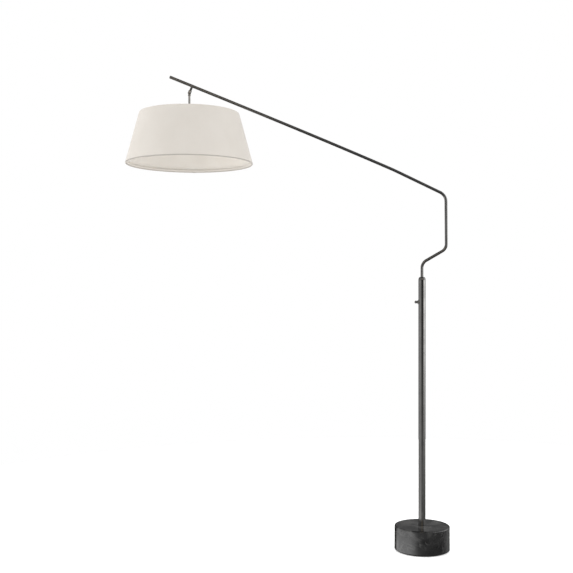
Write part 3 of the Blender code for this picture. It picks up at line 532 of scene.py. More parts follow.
def tube(path, outer, bore=0.0, across=Y_AXIS, sides=40):
    """A tube, or a rod where the bore is 0, along a path that is flat across one direction."""
    mesh = bmesh.new()
    grain = mesh.loops.layers.uv.new("grain")
    skins = []
    for radius in (outer, bore) if bore else (outer,):
        rings = []
        for index, point in enumerate(path):
            ahead = path[min(index + 1, len(path) - 1)] - path[max(index - 1, 0)]
            up = ahead.normalized().cross(across)
            ring = []
            for side in range(sides):
                angle = side * math.tau / sides
                spoke = math.cos(angle) * across + math.sin(angle) * up
                ring.append(mesh.verts.new(point + radius * spoke))
            rings.append(ring)
        skins.append(rings)

    def join(first, second, start, end):
        for side in range(sides):
            after = (side + 1) % sides
            face = mesh.faces.new([first[side], first[after], second[after], second[side]])
            near, far = (outer * math.tau * step / sides for step in (side, side + 1))
            for loop, uv in zip(face.loops, ((near, start), (far, start), (far, end), (near, end))):
                loop[grain].uv = uv

    for rings in skins:
        length = 0.0
        for index, (first, second) in enumerate(zip(rings, rings[1:])):
            step = (path[index + 1] - path[index]).length
            join(first, second, length, length + step)
            length += step
    for end in (0, -1):
        if bore:
            join(skins[0][end], skins[1][end], 0, outer - bore)
        else:
            mesh.faces.new(skins[0][end])
    return mesh


def block(low, high, at=(0, 0, 0), along=Z_AXIS):
    """A box as a bmesh, used only to cut with."""
    mesh = bmesh.new()
    bmesh.ops.create_cube(mesh, size=1)
    spin = Z_AXIS.rotation_difference(Vector(along)).to_matrix()
    low, high = Vector(low), Vector(high)
    for vert in mesh.verts:
        spot = Vector(low[axis] if vert.co[axis] < 0 else high[axis] for axis in range(3))
        vert.co = Vector(at) + spin @ spot
    return mesh


def pin(radius, low, high, at=(0, 0, 0), along=Z_AXIS, sides=48):
    """A round rod as a bmesh."""
    return turned([(0, high), (radius, high), (radius, low), (0, low)], sides, at, along)


def cut(obj, tool, operation="DIFFERENCE"):
    """Cuts a bmesh from the piece, or joins it on, and leaves nothing else behind."""
    cutter = mesh_object("cutter", tool)
    given(obj.modifiers.new("cut", "BOOLEAN"), object=cutter, operation=operation, solver="EXACT")
    graph = bpy.context.evaluated_depsgraph_get()
    made = bpy.data.meshes.new_from_object(obj.evaluated_get(graph))
    obj.modifiers.clear()
    obj.data = made
    made.name = obj.name
    bpy.data.objects.remove(cutter)
    made.shade_smooth()
    made.set_sharp_from_angle(angle=math.radians(CRISP))


def eased(obj, width, steps=3):
    """Rounds the piece's sharp edges a little."""
    modifier = obj.modifiers.new("eased", "BEVEL")
    given(modifier, width=width, segments=steps, limit_method="ANGLE", angle_limit=math.radians(40))
    given(modifier, use_clamp_overlap=True, harden_normals=True)


def flattened(obj):
    """Keeps rounded edges from bending the mirror image in the large faces beside them."""
    given(obj.modifiers.new("flattened", "WEIGHTED_NORMAL"), keep_sharp=True, weight=100)


def thread(pitch, depth, low, high):
    """A warp that cuts a screw thread between two heights."""

    def warp(radius, height, angle):
        if not low <= height <= high:
            return radius, height
        turn = (height / pitch - angle / math.tau) % 1
        fade = min(1, (height - low) / pitch, (high - height) / pitch)
        return radius - depth * fade * (1 - abs(2 * turn - 1)), height

    return warp


def steps_between(start, end, step):
    """Heights from start to end, no further apart than the step."""
    count = max(1, math.ceil(abs(end - start) / step))
    return [start + (end - start) * index / count for index in range(count + 1)]


# Stand


def dress_base():
    low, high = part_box("marble_base")
    radius, edge = high.x, 0.0055
    recess, recess_top = 0.036, 0.0433
    hole = 0.007
    outline = softened(
        (hole, high.z, 0), (radius, high.z, edge), (radius, low.z, edge), (recess, low.z, 0.0008),
        (recess, recess_top, 0), (hole, recess_top, 0), steps=6,
    )
    drum = piece("marble_base", "marble", "stand", turned(outline, 192), "marble_drum")
    flattened(drum)
    channel = middle("cord_gland").z
    bore = 0.0063
    cut(drum, pin(bore, recess - 0.01, radius + 0.01, (0, 0, channel), Y_AXIS))
    low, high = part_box("foot_pad")
    outline = softened((0, high.z, 0), (high.x, high.z, 0.0006), (high.x, low.z, 0.0008), (0, low.z, 0))
    piece("foot_pad", "felt", "stand", turned(outline, 128), "felt_foot")


def dress_gland():
    """The rear bush, with a rounded mouth and grip ribs round its lip."""
    low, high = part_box("cord_gland")
    bore, shank, lip = 0.004, 0.006, size("cord_gland").x / 2
    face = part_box("marble_base")[1].x + GAP
    outline = softened(
        (bore, high.y, 0.0011), (shank + 0.0016, high.y, 0.0009), (lip, face, 0.0004), (shank, face, 0),
        (shank, low.y, 0.0005), (bore, low.y, 0.0008), steps=5,
    )

    def ribs(radius, height, angle):
        grip = clamp((radius - shank) / 0.0015) * (height > face + 0.0002)
        return radius - 0.0002 * grip * (0.5 - 0.5 * math.cos(24 * angle)), height

    place = (0, 0, middle("cord_gland").z)
    piece("cord_gland", "black_nylon", "stand", turned(outline, 192, place, Y_AXIS, ribs), "gland_bush")


def dress_pole():
    low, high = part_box("pole_tube")
    radius, bore = size("pole_tube").y / 2, 0.0145
    outline = [(bore, high.z), (radius - GAP, high.z), (radius, high.z - GAP)]
    outline += [(radius, height) for height in steps_between(high.z - 0.002, low.z + 0.002, 0.03)]
    outline += [(radius, low.z + 2 * GAP), (radius - 2 * GAP, low.z), (bore, low.z)]
    obj = piece("pole_tube", "bronze", "stand", turned(outline, 96))
    insert_hole = 0.0054
    cut(obj, pin(insert_hole, radius - 0.006, radius + 0.004, LOCK_PLACE, -X_AXIS))
    shoulder = high.z + GAP
    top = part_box("pole_cap")[1].z
    face, spigot, foot = 0.0106, 0.01395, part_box("pole_cap")[0].z
    hole = 0.0095
    outline = [(hole, top - 0.0004), (hole + 0.0004, top), (face - 0.0004, top)]
    for across, up in arc((0, 0), 1, 90, 0, 24)[1:]:
        outline.append((face + (radius - face) * across, shoulder + (top - shoulder) * up))
    outline += [(radius - GAP, shoulder - GAP / 2), (spigot, shoulder), (spigot, foot), (hole, foot)]
    piece("pole_cap", "bronze", "stand", turned(outline, 96), "pole_shoulder")
    low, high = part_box("guide_bush")
    shaft, body, lip = ARM_RADIUS + GAP, 0.009, size("guide_bush").y / 2
    outline = softened(
        (shaft, high.z, 0.0003), (lip, high.z, 0.0004), (lip, top + GAP, 0), (body, top + GAP, 0),
        (body, low.z, 0.0003), (shaft, low.z, 0.0003),
    )
    piece("guide_bush", "black_nylon", "stand", turned(outline, 96))


def dress_lock():
    """The collar, and the ball-ended screw in it. Local Z runs out of the pole, along -X."""
    radius = size("lock_collar").y / 2
    end = extent("lock_collar", -X_AXIS)[1]
    throat, pole = 0.0053, size("pole_tube").y / 2
    root = 0.0095  # inside the pole, until the cut below fits the collar to the pole's wall
    outline = softened(
        (throat, end, 0.0003), (0.0065, end, 0.0005), (0.0072, end - 0.0025, 0.0012),
        (radius, end - 0.0044, 0.0011), (radius, root, 0), (throat, root, 0), steps=5,
    )
    collar = piece("lock_collar", "dark_bronze", "stand", turned(outline, 96, LOCK_PLACE, -X_AXIS))
    cut(collar, pin(pole + GAP, -0.03, 0.03, LOCK_PLACE, sides=128))
    ball = max(size("lock_ball").y, size("lock_ball").z) / 2
    centre = extent("lock_ball", -X_AXIS)[1] - ball
    screw = size("lock_screw").y / 2
    face, seat = centre - 0.0058, centre + 0.0015
    shoulder = 0.0035  # how far the ball's neck starts behind its centre
    back = -math.degrees(math.asin(shoulder / ball))
    outline = [(0, centre + ball)] + arc((0, centre), ball, 84, back, 28)
    neck = outline[-1][0]
    outline += [(neck, face + GAP), (neck - GAP, face)]
    outline += [(screw + GAP, face), (screw + GAP, seat), (0, seat)]
    piece("lock_ball", "dark_bronze", "lock_screw", turned(outline, 64, LOCK_PLACE, -X_AXIS))
    tip, top = extent("lock_screw", -X_AXIS)
    outline = [(0, top), (screw - 0.0003, top)]
    outline += [(screw, height) for height in steps_between(top - 0.0003, tip + 0.0006, 0.0001)]
    outline += [(screw - 0.0006, tip), (0, tip)]
    mesh = turned(outline, 32, LOCK_PLACE, -X_AXIS, thread(0.0008, 0.0004, tip + 0.0006, top - 0.0003))
    piece("lock_screw", "zinc_steel", "lock_screw", mesh)


# Arm


def boom_height(x):
    """Height of the boom's centreline, which droops as the CAD boom does."""
    reach = ARM_JOINT.x - x
    span = ARM_JOINT.x - HANGER_X
    if reach <= span:
        droop = BOOM_SAG * (3 * span * reach**2 - reach**3) / (2 * span**3)
    else:
        droop = BOOM_SAG * (1 + 1.5 * (reach - span) / span)
    return ARM_JOINT.z + BOOM_SLOPE * reach - droop


def dress_arm():
    rise = (ARM_JOINT - ELBOW).normalized()
    corners = [STEM_FOOT, JOG_START, JOG_END, ELBOW, ARM_JOINT - GAP * rise]
    route = rounded_path(corners, ARM_BENDS)
    piece("arm_riser", "bronze", "arm", tube(route, ARM_RADIUS, ARM_BORE))
    start, end = ARM_JOINT.x - GAP, BOOM_TIP_X + END_CAP_LENGTH * math.cos(HANGER_TILT)
    route = [Vector((x, 0, boom_height(x))) for x in steps_between(start, end, 0.012)]
    boom = piece("boom_tube", "bronze", "arm", tube(route, ARM_RADIUS, ARM_BORE), "boom_fine")
    root = Vector((HANGER_X, 0, boom_height(HANGER_X)))
    cut(boom, pin(0.0042, -2 * ARM_RADIUS, 0, root, HANGER_UP))
    shank = 0.0047
    outline = softened(
        (0, END_CAP_LENGTH, 0), (ARM_RADIUS - 0.0001, END_CAP_LENGTH - 0.0003, 0.0012),
        (ARM_RADIUS, GAP, 0.0002), (shank, GAP, 0), (shank, -0.012, 0.0004), (0, -0.012, 0), steps=6,
    )
    along = (route[-1] - route[-2]).normalized()
    piece("boom_end_cap", "dark_bronze", "arm", turned(outline, 64, route[-1], along))


def dress_hanger():
    """The sleeve under the boom and the fork of the swivel. Local Z runs up the hanger."""
    place = {"at": PIVOT, "along": HANGER_UP}
    root = PIVOT + HANGER_LENGTH * HANGER_UP
    bore, radius, fork_top = 0.0043, 0.0048, 0.0105
    top, foot = HANGER_LENGTH - 0.002, fork_top + GAP
    outline = softened((bore, top, 0), (radius, top, 0), (radius, foot, 0.0004), (bore, foot, 0))
    sleeve = piece("hanger_sleeve", "bronze", "arm", turned(outline, 96, **place))
    boom_axis = Vector((-math.cos(HANGER_TILT), 0, math.sin(HANGER_TILT)))
    cut(sleeve, pin(ARM_RADIUS + GAP, -THROUGH, THROUGH, root, boom_axis, 96))
    radius, cheek, slot_top, half_slot = 0.0075, 0.0068, 0.008, 0.004
    outline = softened((bore, fork_top, 0), (radius, fork_top, 0.0013), (radius, 0, 0), steps=5)[:-1]
    outline += arc((0, 0), radius, 0, -86, 24)
    outline += [(0, -radius), (0, slot_top - 0.002), (bore, slot_top - 0.002)]
    fork = piece("swivel_fork", "dark_bronze", "arm", turned(outline, 96, **place))
    far = 2 * radius
    cut(fork, block((-far, -half_slot, -far), (far, half_slot, slot_top), PIVOT, HANGER_UP))
    cut(fork, block((-far, cheek, -far), (far, far, far), PIVOT, HANGER_UP))
    cut(fork, block((-far, -far, -far), (far, -cheek, far), PIVOT, HANGER_UP))
    cut(fork, pin(PIVOT_HOLE, -THROUGH, THROUGH, PIVOT, Y_AXIS))
    eased(fork, 0.00035)
    dress_pivot(cheek)


def dress_pivot(cheek):
    """The slotted pivot screw and its knurled nut. Local Z runs along +Y."""
    low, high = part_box("pivot_screw")
    shaft, head = 0.002, -cheek - GAP
    nut_low, nut_high = cheek + GAP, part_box("thumb_nut")[1].y
    tip = high.y
    outline = [(0, tip), (shaft - 0.0004, tip)]
    outline += [(shaft, height) for height in steps_between(tip - 0.0004, nut_low, 0.0001)]
    outline += [(shaft, head)]
    outline += softened((shaft, head, 0), (0.0036, head, 0.0002), (0.0036, head - 0.0010, 0.0002))[1:]
    outline += arc((0.0014, head - 0.0010), 0.0022, -10, -62, 8) + [(0, low.y + 0.0001)]
    mesh = turned(outline, 64, PIVOT, Y_AXIS, thread(0.0007, 0.0003, nut_low, tip - 0.0004))
    screw = piece("pivot_screw", "dark_bronze", "arm", mesh)
    half_slot, far = 0.0004, 0.005
    slot_low, slot_high = (-half_slot, low.y - 0.001, -far), (half_slot, low.y + 0.0011, far)
    cut(screw, block(slot_low, slot_high, (PIVOT.x, 0, PIVOT.z)))
    reach = size("thumb_nut").x / 2
    outline = softened(
        (PIVOT_HOLE, nut_high, 0.0002), (reach, nut_high, 0.0005), (reach, nut_low, 0.0005),
        (PIVOT_HOLE, nut_low, 0),
    )

    def knurl(radius, height, angle):
        grip = clamp((radius - reach + 0.0008) / 0.0006)
        return radius - 0.00022 * grip * abs(math.sin(20 * angle)), height

    piece("thumb_nut", "dark_bronze", "arm", turned(outline, 240, PIVOT, Y_AXIS, knurl))


# Pendant


def dress_tongue():
    """The eye between the fork's cheeks, over the collar that takes the rod."""
    eye, half = 0.007, 0.0026
    neck, neck_top, neck_foot = 0.0062, -0.008, -0.013
    outline = arc((0, 0), eye, 218, -38, 48) + [(0.0052, neck_top - 0.001), (-0.0052, neck_top - 0.001)]
    mesh = bmesh.new()
    mesh.loops.layers.uv.new("grain")
    sides = [[mesh.verts.new(PIVOT + Vector((x, y, z))) for x, z in outline] for y in (-half, half)]
    for side in sides:
        mesh.faces.new(side)
    for index in range(len(outline)):
        after = (index + 1) % len(outline)
        mesh.faces.new([sides[0][index], sides[0][after], sides[1][after], sides[1][index]])
    obj = piece("swivel_tongue", "dark_bronze", "pendant", mesh)
    bore, seat = 0.0051, neck_top - 0.0018
    outline = softened(
        (0, neck_top, 0), (neck, neck_top, 0.0009), (neck, neck_foot, 0.0005), (bore, neck_foot, 0),
        (bore, seat, 0), (0, seat, 0),
    )
    cut(obj, turned(outline, 96, PIVOT), "UNION")
    cut(obj, pin(PIVOT_HOLE, -THROUGH, THROUGH, PIVOT, Y_AXIS))
    eased(obj, 0.0003)


def dress_rod():
    """The hollow rod, threaded where its nut and the lamp holder sit."""
    low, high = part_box("hang_rod")
    radius, bore = size("hang_rod").y / 2, 0.0031
    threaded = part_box("jam_nut")[1].z + 0.009
    outline = [(bore, high.z), (radius - 0.0003, high.z), (radius, high.z - 0.0003)]
    outline += [(radius, threaded + 0.001)]
    outline += [(radius, height) for height in steps_between(threaded, low.z + 0.0004, 0.000125)]
    outline += [(radius - 0.0004, low.z), (bore, low.z)]
    place = (middle("hang_rod").x, 0, 0)
    mesh = turned(outline, 64, place, warp=thread(0.001, 0.00045, low.z + 0.0004, threaded))
    piece("hang_rod", "nickel", "pendant", mesh)
    low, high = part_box("jam_nut")
    flats = size("jam_nut").y / 2
    corner = flats / math.cos(math.pi / 6)
    outline = softened(
        (ROD_HOLE, high.z, 0.0003), (flats + 0.0001, high.z, 0), (corner, high.z - 0.0009, 0.0002),
        (corner, low.z + 0.0009, 0.0002), (flats + 0.0001, low.z, 0), (ROD_HOLE, low.z, 0.0003),
    )

    def hexagon(radius, height, angle):
        reach = flats / math.cos(angle % (math.pi / 3) - math.pi / 6)
        return min(radius, reach), height

    piece("jam_nut", "brass", "pendant", turned(outline, 192, place, warp=hexagon))


def ring_centre(node):
    """(radius, height) of the middle of a shade ring's wire."""
    return Vector((size(node).x / 2 - WIRE, middle(node).z))


def dress_fitter():
    """The spider and the two wire rings."""
    low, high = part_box("spider_hub")
    centre = Vector((middle("spider_hub").x, 0, 0))
    radius = size("spider_hub").x / 2
    outline = softened(
        (ROD_HOLE, high.z, 0.0002), (radius, high.z, 0.0005), (radius, low.z, 0.0005),
        (ROD_HOLE, low.z, 0.0002),
    )
    piece("spider_hub", "white_steel", "pendant", turned(outline, 96, centre))
    top = ring_centre("shade_ring_upper")
    wire = 0.0015
    level = middle("spider_hub").z
    for number, degrees in enumerate((30, 150, 270), 1):
        out = Vector((math.cos(math.radians(degrees)), math.sin(math.radians(degrees)), 0))
        start = centre + Vector((0, 0, level)) + out * (radius + GAP)
        end = centre + Vector((0, 0, top.y)) + out * (top.x - WIRE - 0.0034)
        route = rounded_path([start, start + 0.012 * out, end - 0.010 * out, end], [0.02, 0.02])
        mesh = tube(route, wire, across=out.cross(Z_AXIS), sides=20)
        node = f"spider_arm_{number}"
        piece(node, "white_steel", "pendant", mesh)
    for node in ("shade_ring_upper", "shade_ring_lower"):
        outline = arc(ring_centre(node), WIRE, 0, 345, 23)
        piece(node, "white_steel", "pendant", turned(outline, 192, centre))


def dress_shade():
    """The cut sheet wrapped into a cone, lapped at the rear and hemmed round both rings."""
    low, high = ring_centre("shade_ring_lower"), ring_centre("shade_ring_upper")
    up = (high - low).normalized()
    out = Vector((up.y, -up.x))
    lean = math.degrees(math.atan2(out.y, out.x))
    rows = [(high - SKIN_MIDDLE * out - share * HEM * up, -out) for share in reversed(HEM_SHARES)]
    upper_roll = arc(high, SKIN_MIDDLE, lean + 180, lean, ROLL_STEPS)
    rows += [(Vector(spot), Vector(spot) - high) for spot in upper_roll]
    for step in range(1, CONE_STEPS):
        rows.append((high.lerp(low, step / CONE_STEPS) + SKIN_MIDDLE * out, out))
    lower_roll = arc(low, SKIN_MIDDLE, lean, lean - 180, ROLL_STEPS)
    rows += [(Vector(spot), Vector(spot) - low) for spot in lower_roll]
    rows += [(low - SKIN_MIDDLE * out + share * HEM * up, -out) for share in HEM_SHARES]
    rows = [(spot, away.normalized()) for spot, away in rows]
    along = [0.0]
    for (first, _), (second, _) in zip(rows, rows[1:]):
        along.append(along[-1] + (second - first).length)
    cone = -up.x
    shoulder = len(HEM_SHARES) + ROLL_STEPS  # the row where the upper roll meets the cone
    foot = -1 - shoulder
    top_at = along[shoulder]
    flat_top = rows[shoulder][0].x / cone
    centre = middle("shade_fabric").x
    angles = [math.tau * step / COLUMNS for step in range(COLUMNS + 1)]
    angles += [math.tau + LAP * step / 3 for step in (1, 2, 3)]
    mesh = bmesh.new()
    cloth = mesh.loops.layers.uv.new("cloth")
    layers, flats = [[], []], []
    for angle in angles:
        lift = clamp((angle - math.tau + LAP_RISE) / LAP_RISE)
        lift = (SKIN + 0.00008) * lift * lift * (3 - 2 * lift)
        ripple = 0.00022 * math.sin(3 * angle + 0.7) + 0.00014 * math.sin(7 * angle + 2.1)
        spin = angle + math.pi / 2
        columns = ([], [])
        for index, (spot, away) in enumerate(rows):
            share = (along[index] - top_at) / (along[foot] - top_at)
            swell = math.sin(math.pi * clamp(share))
            for layer, side in zip(columns, (0.5, -0.5)):
                reach = spot + away * (lift + side * SKIN + ripple * swell)
                layer.append(
                    mesh.verts.new((centre + reach.x * math.cos(spin), reach.x * math.sin(spin), reach.y))
                )
        for layer, column in zip(layers, columns):
            layer.append(column)
        turn = (angle - math.pi) * cone
        reaches = [flat_top + length - top_at for length in along]
        flats.append([(reach * math.sin(turn), reach * math.cos(turn)) for reach in reaches])

    def face(*corners):
        made = mesh.faces.new([layers[layer][column][row] for layer, column, row in corners])
        for loop, (_, column, row) in zip(made.loops, corners):
            loop[cloth].uv = flats[column][row]

    last_column, last_row = len(angles) - 1, len(rows) - 1
    for column in range(last_column):
        for row in range(last_row):
            corners = ((column, row), (column + 1, row), (column + 1, row + 1), (column, row + 1))
            for layer in (0, 1):
                face(*((layer, *corner) for corner in corners))
        for row in (0, last_row):
            face((0, column, row), (0, column + 1, row), (1, column + 1, row), (1, column, row))
    for row in range(last_row):
        for column in (0, last_column):
            face((0, column, row), (0, column, row + 1), (1, column, row + 1), (1, column, row))
    obj = piece("shade_fabric", "linen", "pendant", mesh, name="linen_shade", crisp=60)
    dress_liner(low, high, out)


def dress_liner(low, high, out):
    """The stiff white sheet that the fabric is laminated to."""
    thick, clear = 0.0008, 0.0024
    outer, inner = WIRE * out, (WIRE - thick) * out
    outline = []
    for face, start, end in ((inner, high, low), (outer, low, high)):
        shift = clear * (end - start).normalized()
        for step in range(13):
            outline.append(tuple((start + shift).lerp(end - shift, step / 12) + face))
    centre = (middle("shade_liner").x, 0, 0)
    piece("shade_liner", "liner", "pendant", turned(outline, 192, centre))


def dress_holder():
    """The brass lamp holder: a domed cap and a beaded shell, with the port for its turn key."""
    centre = (middle("socket_cap").x, 0, 0)
    low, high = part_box("socket_cap")
    radius, wall = size("socket_cap").x / 2, 0.0007
    outline = softened(
        (ROD_HOLE, high.z, 0.0003), (0.0092, high.z, 0.0016), (0.0108, high.z - 0.0046, 0.0030),
        (radius - 0.0012, high.z - 0.0085, 0.0045), (radius, low.z + 0.0040, 0.0015),
        (radius, low.z, 0.0003), (radius - wall, low.z, 0), (radius - wall, low.z + 0.0040, 0.0012),
        (radius - 0.0020, high.z - 0.0090, 0.0036), (0.0100, high.z - 0.0052, 0.0022),
        (0.0086, high.z - 0.0012, 0.0010), (ROD_HOLE, high.z - 0.0012, 0), steps=6,
    )
    piece("socket_cap", "brass", "pendant", turned(outline, 96, centre), "holder_cap")
    low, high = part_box("socket_shell")
    radius = size("socket_shell").x / 2
    outline = [(radius - wall, high.z), (radius - 0.0001, high.z)]
    for height in steps_between(high.z - 0.0003, low.z + 0.0004, 0.0004):
        bead = sum(math.exp(-(((height - at) / 0.0006) ** 2)) for at in (high.z - 0.004, low.z + 0.003))
        outline.append((radius - 0.0003 + 0.0003 * min(1, bead), height))
    outline += [(radius - 0.0002, low.z), (radius - wall, low.z)]
    shell = piece("socket_shell", "brass", "pendant", turned(outline, 96, centre), "holder_shell")
    port = Vector((centre[0], 0, KEY_PLACE.z))
    port_hole = 0.0026
    cut(shell, pin(port_hole, radius - 0.006, radius + 0.004, port, -Y_AXIS))
    dress_key(port)


def dress_key(port):
    """The turn key: its stem and its fluted oval grip. Local Z runs out of the port, along -Y."""
    stem_low, stem_high = extent("key_stem", -Y_AXIS)
    stem = size("key_stem").z / 2
    outline = softened(
        (0, stem_high, 0), (stem, stem_high, 0), (stem, stem_low, 0.0003), (0, stem_low, 0)
    )
    piece("key_stem", "brass", "switch_key", turned(outline, 32, port, -Y_AXIS))
    grip_low, grip_high = extent("key_grip", -Y_AXIS)
    narrow, wide = sorted((size("key_grip").x / 2, size("key_grip").z / 2))
    flutes_start, flutes_end = 0.00196, 0.00833  # above the grip's low end
    outline = [(0, grip_high)]
    for height in steps_between(grip_high, grip_low, 0.0004):
        share = (height - grip_low) / (grip_high - grip_low)
        waist = 1 - 0.45 * (1 - share) ** 2 - 0.9 * max(0.0, share - 0.86) ** 1.4
        outline.append((waist, height))
    outline.append((0, grip_low))

    def oval(radius, height, angle):
        reach = wide * narrow / math.hypot(narrow * math.cos(angle), wide * math.sin(angle))
        fluted = flutes_start < height - grip_low < flutes_end
        return radius * reach * (1 - 0.035 * abs(math.sin(12 * angle)) * fluted), height

    piece("key_grip", "phenolic", "switch_key", turned(outline, 144, port, -Y_AXIS, oval))


def dress_bulb():
    low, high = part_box("bulb_glass")
    centre = (middle("bulb_glass").x, 0, 0)
    radius, wall = max(size("bulb_glass").x, size("bulb_glass").y) / 2, 0.0012
    middle_height = low.z + 0.030
    neck = 0.0118
    outer = [(neck, high.z), (neck + 0.0006, high.z - 0.003)]
    outer += [(neck + 0.0012, high.z - 0.008), (neck + 0.0026, high.z - 0.013)]
    outer += arc((0, middle_height), radius, 50, -88, 46)
    inner = [(reach - wall, height) for reach, height in outer[:4]]
    inner += arc((0, middle_height), radius - wall, 50, -88, 46)
    outline = outer + [(0, middle_height - radius), (0, middle_height - radius + wall)] + inner[::-1]
    piece("bulb_glass", "frosted_glass", "pendant", turned(outline, 96, centre), "bulb_envelope")


def dress_kept_nodes():
    """Gives each CAD node that is still shown, inside the lamp, the look of its own slot."""
    hidden = {"aluminium", "brass", "card", "lead", "phenolic", "white_nylon", "zinc_steel"}
    for obj in frame["nodes"].values():
        if obj.hide_render:
            continue
        for material_slot in obj.material_slots:
            wanted = material_slot.material.name.split(".")[0]
            if wanted in hidden:
                material_slot.material = LOOKS[wanted]


# Room, light and camera


def build_floor():
    """A plain white disc. What is beyond it is as white, so its edge doesn't show."""
    mesh = bmesh.new()
    bmesh.ops.create_circle(mesh, cap_ends=True, segments=96, radius=3.2)
    look = Look("floor", Roughness=0.9, Emission_Color=(1, 1, 1, 1), Emission_Strength=0.5)
    tone = look.noise(1.5, detail=3)
    look.colour(look.mix(look.spread(tone, 0.3, 0.7), (0.83, 0.83, 0.83), (0.81, 0.81, 0.81)))
    floor = mesh_object("floor", mesh)
    floor.data.materials.append(look.material)
    floor.visible_glossy = False


# The studio that the metal and the stone mirror: (heights between which a row comes in, walls).
# Heights are degrees above the horizon. A wall stop is (degrees round from the front, brightness),
# with a 1 after it where the wall is warm.
STUDIO_ROWS = (
    ((-90, -30), ((-180, 0.2), (0, 0.2), (180, 0.2))),
    ((-30, -16), ((-180, 0.03), (-150, 0.03), (-132, 1.6), (-84, 3.0), (-56, 3.2), (-38, 1.9),
        (-22, 0.7), (0, 0.3), (26, 0.2), (52, 0.12), (81, 0.1), (117, 0.45), (140, 0.3), (155, 0.03),
        (180, 0.03))),
    ((-14.4, -13.6), ((-180, 0.03), (-150, 0.03), (-118, 1.0), (-40, 1.0), (-20, 0.75), (30, 0.6),
        (50, 0.33), (105, 0.28), (118, 0.4), (150, 0.03), (180, 0.03))),
    ((-12.5, -7), ((-180, 0.03), (-150, 0.03), (-118, 1.15), (-40, 1.1), (-25, 0.5), (-10, 0.3),
        (20, 0.28), (40, 0.9), (55, 1.35), (105, 1.4), (118, 0.8), (126, 0.35), (150, 0.03),
        (180, 0.03))),
    ((-7, -1), ((-180, 0.03), (-150, 0.03), (-118, 1.25), (-40, 1.25), (-30, 0.5), (-20, 0.12),
        (30, 0.08), (40, 1.6), (50, 3.8), (75, 4.4), (105, 4.4), (116, 2.4), (124, 0.5), (150, 0.03),
        (180, 0.03))),
    ((1, 8), ((-180, 0.03), (-150, 0.03), (-118, 0.9), (-60, 0.7), (-30, 0.2), (30, 0.15), (45, 1.0),
        (70, 1.8), (118, 1.5), (150, 0.05), (180, 0.03))),
    ((9.5, 13), ((-180, 0.2), (-150, 0.05), (-118, 0.8), (-60, 0.9), (-30, 0.6), (-20, 0.6),
        (-14, 3.1, 1), (-1, 3.1, 1), (4, 0.3), (30, 0.3), (45, 1.2), (60, 2.0), (110, 2.0), (150, 0.1),
        (165, 0.2), (180, 0.2))),
    ((16, 30), ((-180, 0.2), (-118, 0.5), (-60, 0.8), (0, 0.4), (40, 0.8), (70, 1.4), (118, 1.2),
        (150, 0.2), (180, 0.2))),
    ((40, 60), ((-180, 0.25), (0, 0.25), (180, 0.25))),
)
STUDIO_FULL = 5.0  # the brightness that is a full 1 in a row's colours
WARM = (1, 0.86, 0.68)
# What lights the matt surfaces, from left, front and right: (degrees round, brightness)
ROOM_LIGHT = ((-180, 0.6), (-90, 1.5), (-30, 0.52), (20, 0.36), (90, 0.86), (180, 0.55))


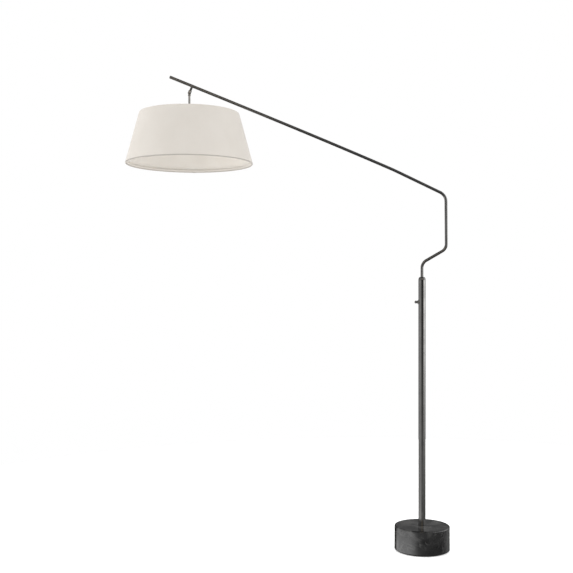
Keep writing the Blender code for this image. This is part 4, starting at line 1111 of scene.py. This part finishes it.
def build_world():
    """White behind the lamp, a studio in its reflections and an even room for its matt surfaces."""
    world = bpy.data.worlds.new("studio")
    bpy.context.scene.world = world
    world.use_nodes = True
    world.node_tree.nodes.clear()
    studio = Nodes(world.node_tree)

    def ramp(stops):
        """Colours round the horizon, from stops of (degrees, tone) and perhaps a 1 for warm."""
        colours = studio.add("ShaderNodeValToRGB", "Color", {"Fac": around})
        elements = colours.node.color_ramp.elements
        while len(elements) < len(stops):
            elements.new(0.5)
        for element, (angle, tone, *warm) in zip(elements, stops):
            element.position = 0.5 + angle / 360
            element.color = (*(tone * part for part in (WARM if warm else (1, 1, 1))), 1)
        return colours

    def background(colour, strength):
        return studio.add("ShaderNodeBackground", 0, {"Color": colour, "Strength": strength})

    direction = studio.add("ShaderNodeTexCoord", "Generated")
    parts = studio.add("ShaderNodeSeparateXYZ", "Z", {"Vector": direction}).node.outputs
    turn = studio.sum("ARCTAN2", parts["X"], studio.sum("MULTIPLY", parts["Y"], -1.0))
    around = studio.sum("MULTIPLY_ADD", turn, 1 / math.tau, 0.5)
    mirrored = None
    for (start, end), walls in STUDIO_ROWS:
        row = ramp([(angle, tone / STUDIO_FULL, *warm) for angle, tone, *warm in walls])
        if mirrored is not None:
            sockets = {"Value": parts["Z"], "From Min": math.sin(math.radians(start))}
            sockets["From Max"] = math.sin(math.radians(end))
            share = studio.add("ShaderNodeMapRange", "Result", sockets)
            row = studio.add("ShaderNodeMix", 2, {0: share, 6: mirrored, 7: row}, data_type="RGBA")
        mirrored = row
    shown = background(mirrored, STUDIO_FULL)
    room, white = background(ramp(ROOM_LIGHT), 1.0), background((1, 1, 1, 1), 1.0)
    for ray, light in (("Is Diffuse Ray", room), ("Is Camera Ray", white)):
        seen = studio.add("ShaderNodeLightPath", ray)
        shown = studio.add("ShaderNodeMixShader", 0, {0: seen, 1: shown, 2: light})
    studio.feed(world.node_tree.nodes.new("ShaderNodeOutputWorld"), {"Surface": shown})


def soft_light(name, kind, towards, energy, place=(0, 0, 0), **shape):
    """A light that shades the lamp softly. Its metal mirrors the studio instead, so it isn't mirrored."""
    light = linked(name, given(bpy.data.lights.new(name, kind), energy=energy, **shape))
    aim = (Vector(towards) - Vector(place)).to_track_quat("-Z", "Y").to_euler()
    given(light, location=place, rotation_euler=aim, visible_camera=False, visible_glossy=False)


def build_camera():
    data = given(bpy.data.cameras.new("camera"), lens=CAMERA_LENS, sensor_width=36, clip_end=100)
    data.shift_y = CAMERA_SHIFT
    camera = given(linked("camera", data), location=CAMERA_PLACE, rotation_euler=(math.pi / 2, 0, 0))
    bpy.context.scene.camera = camera


def main():
    bpy.context.scene.view_settings.view_transform = "Standard"
    bpy.context.scene.cycles.use_denoising = True
    build_camera()
    build_world()
    build_floor()
    soft_light("overhead_sky", "SUN", (0.08, 0.30, -0.92), 1.5, angle=math.radians(70))
    right = {"shape": "RECTANGLE", "size": 1.6, "size_y": 1.2}
    soft_light("right_softbox", "AREA", (-0.6, 0, 1.6), 14, (2.4, -2.2, 2.2), **right)
    LOOKS.update(make_looks())
    stand_and_arm = (dress_base, dress_gland, dress_pole, dress_lock, dress_arm, dress_hanger)
    pendant = (dress_tongue, dress_rod, dress_fitter, dress_shade, dress_holder, dress_bulb)
    for dress in (*stand_and_arm, *pendant, dress_kept_nodes):
        dress()


main()
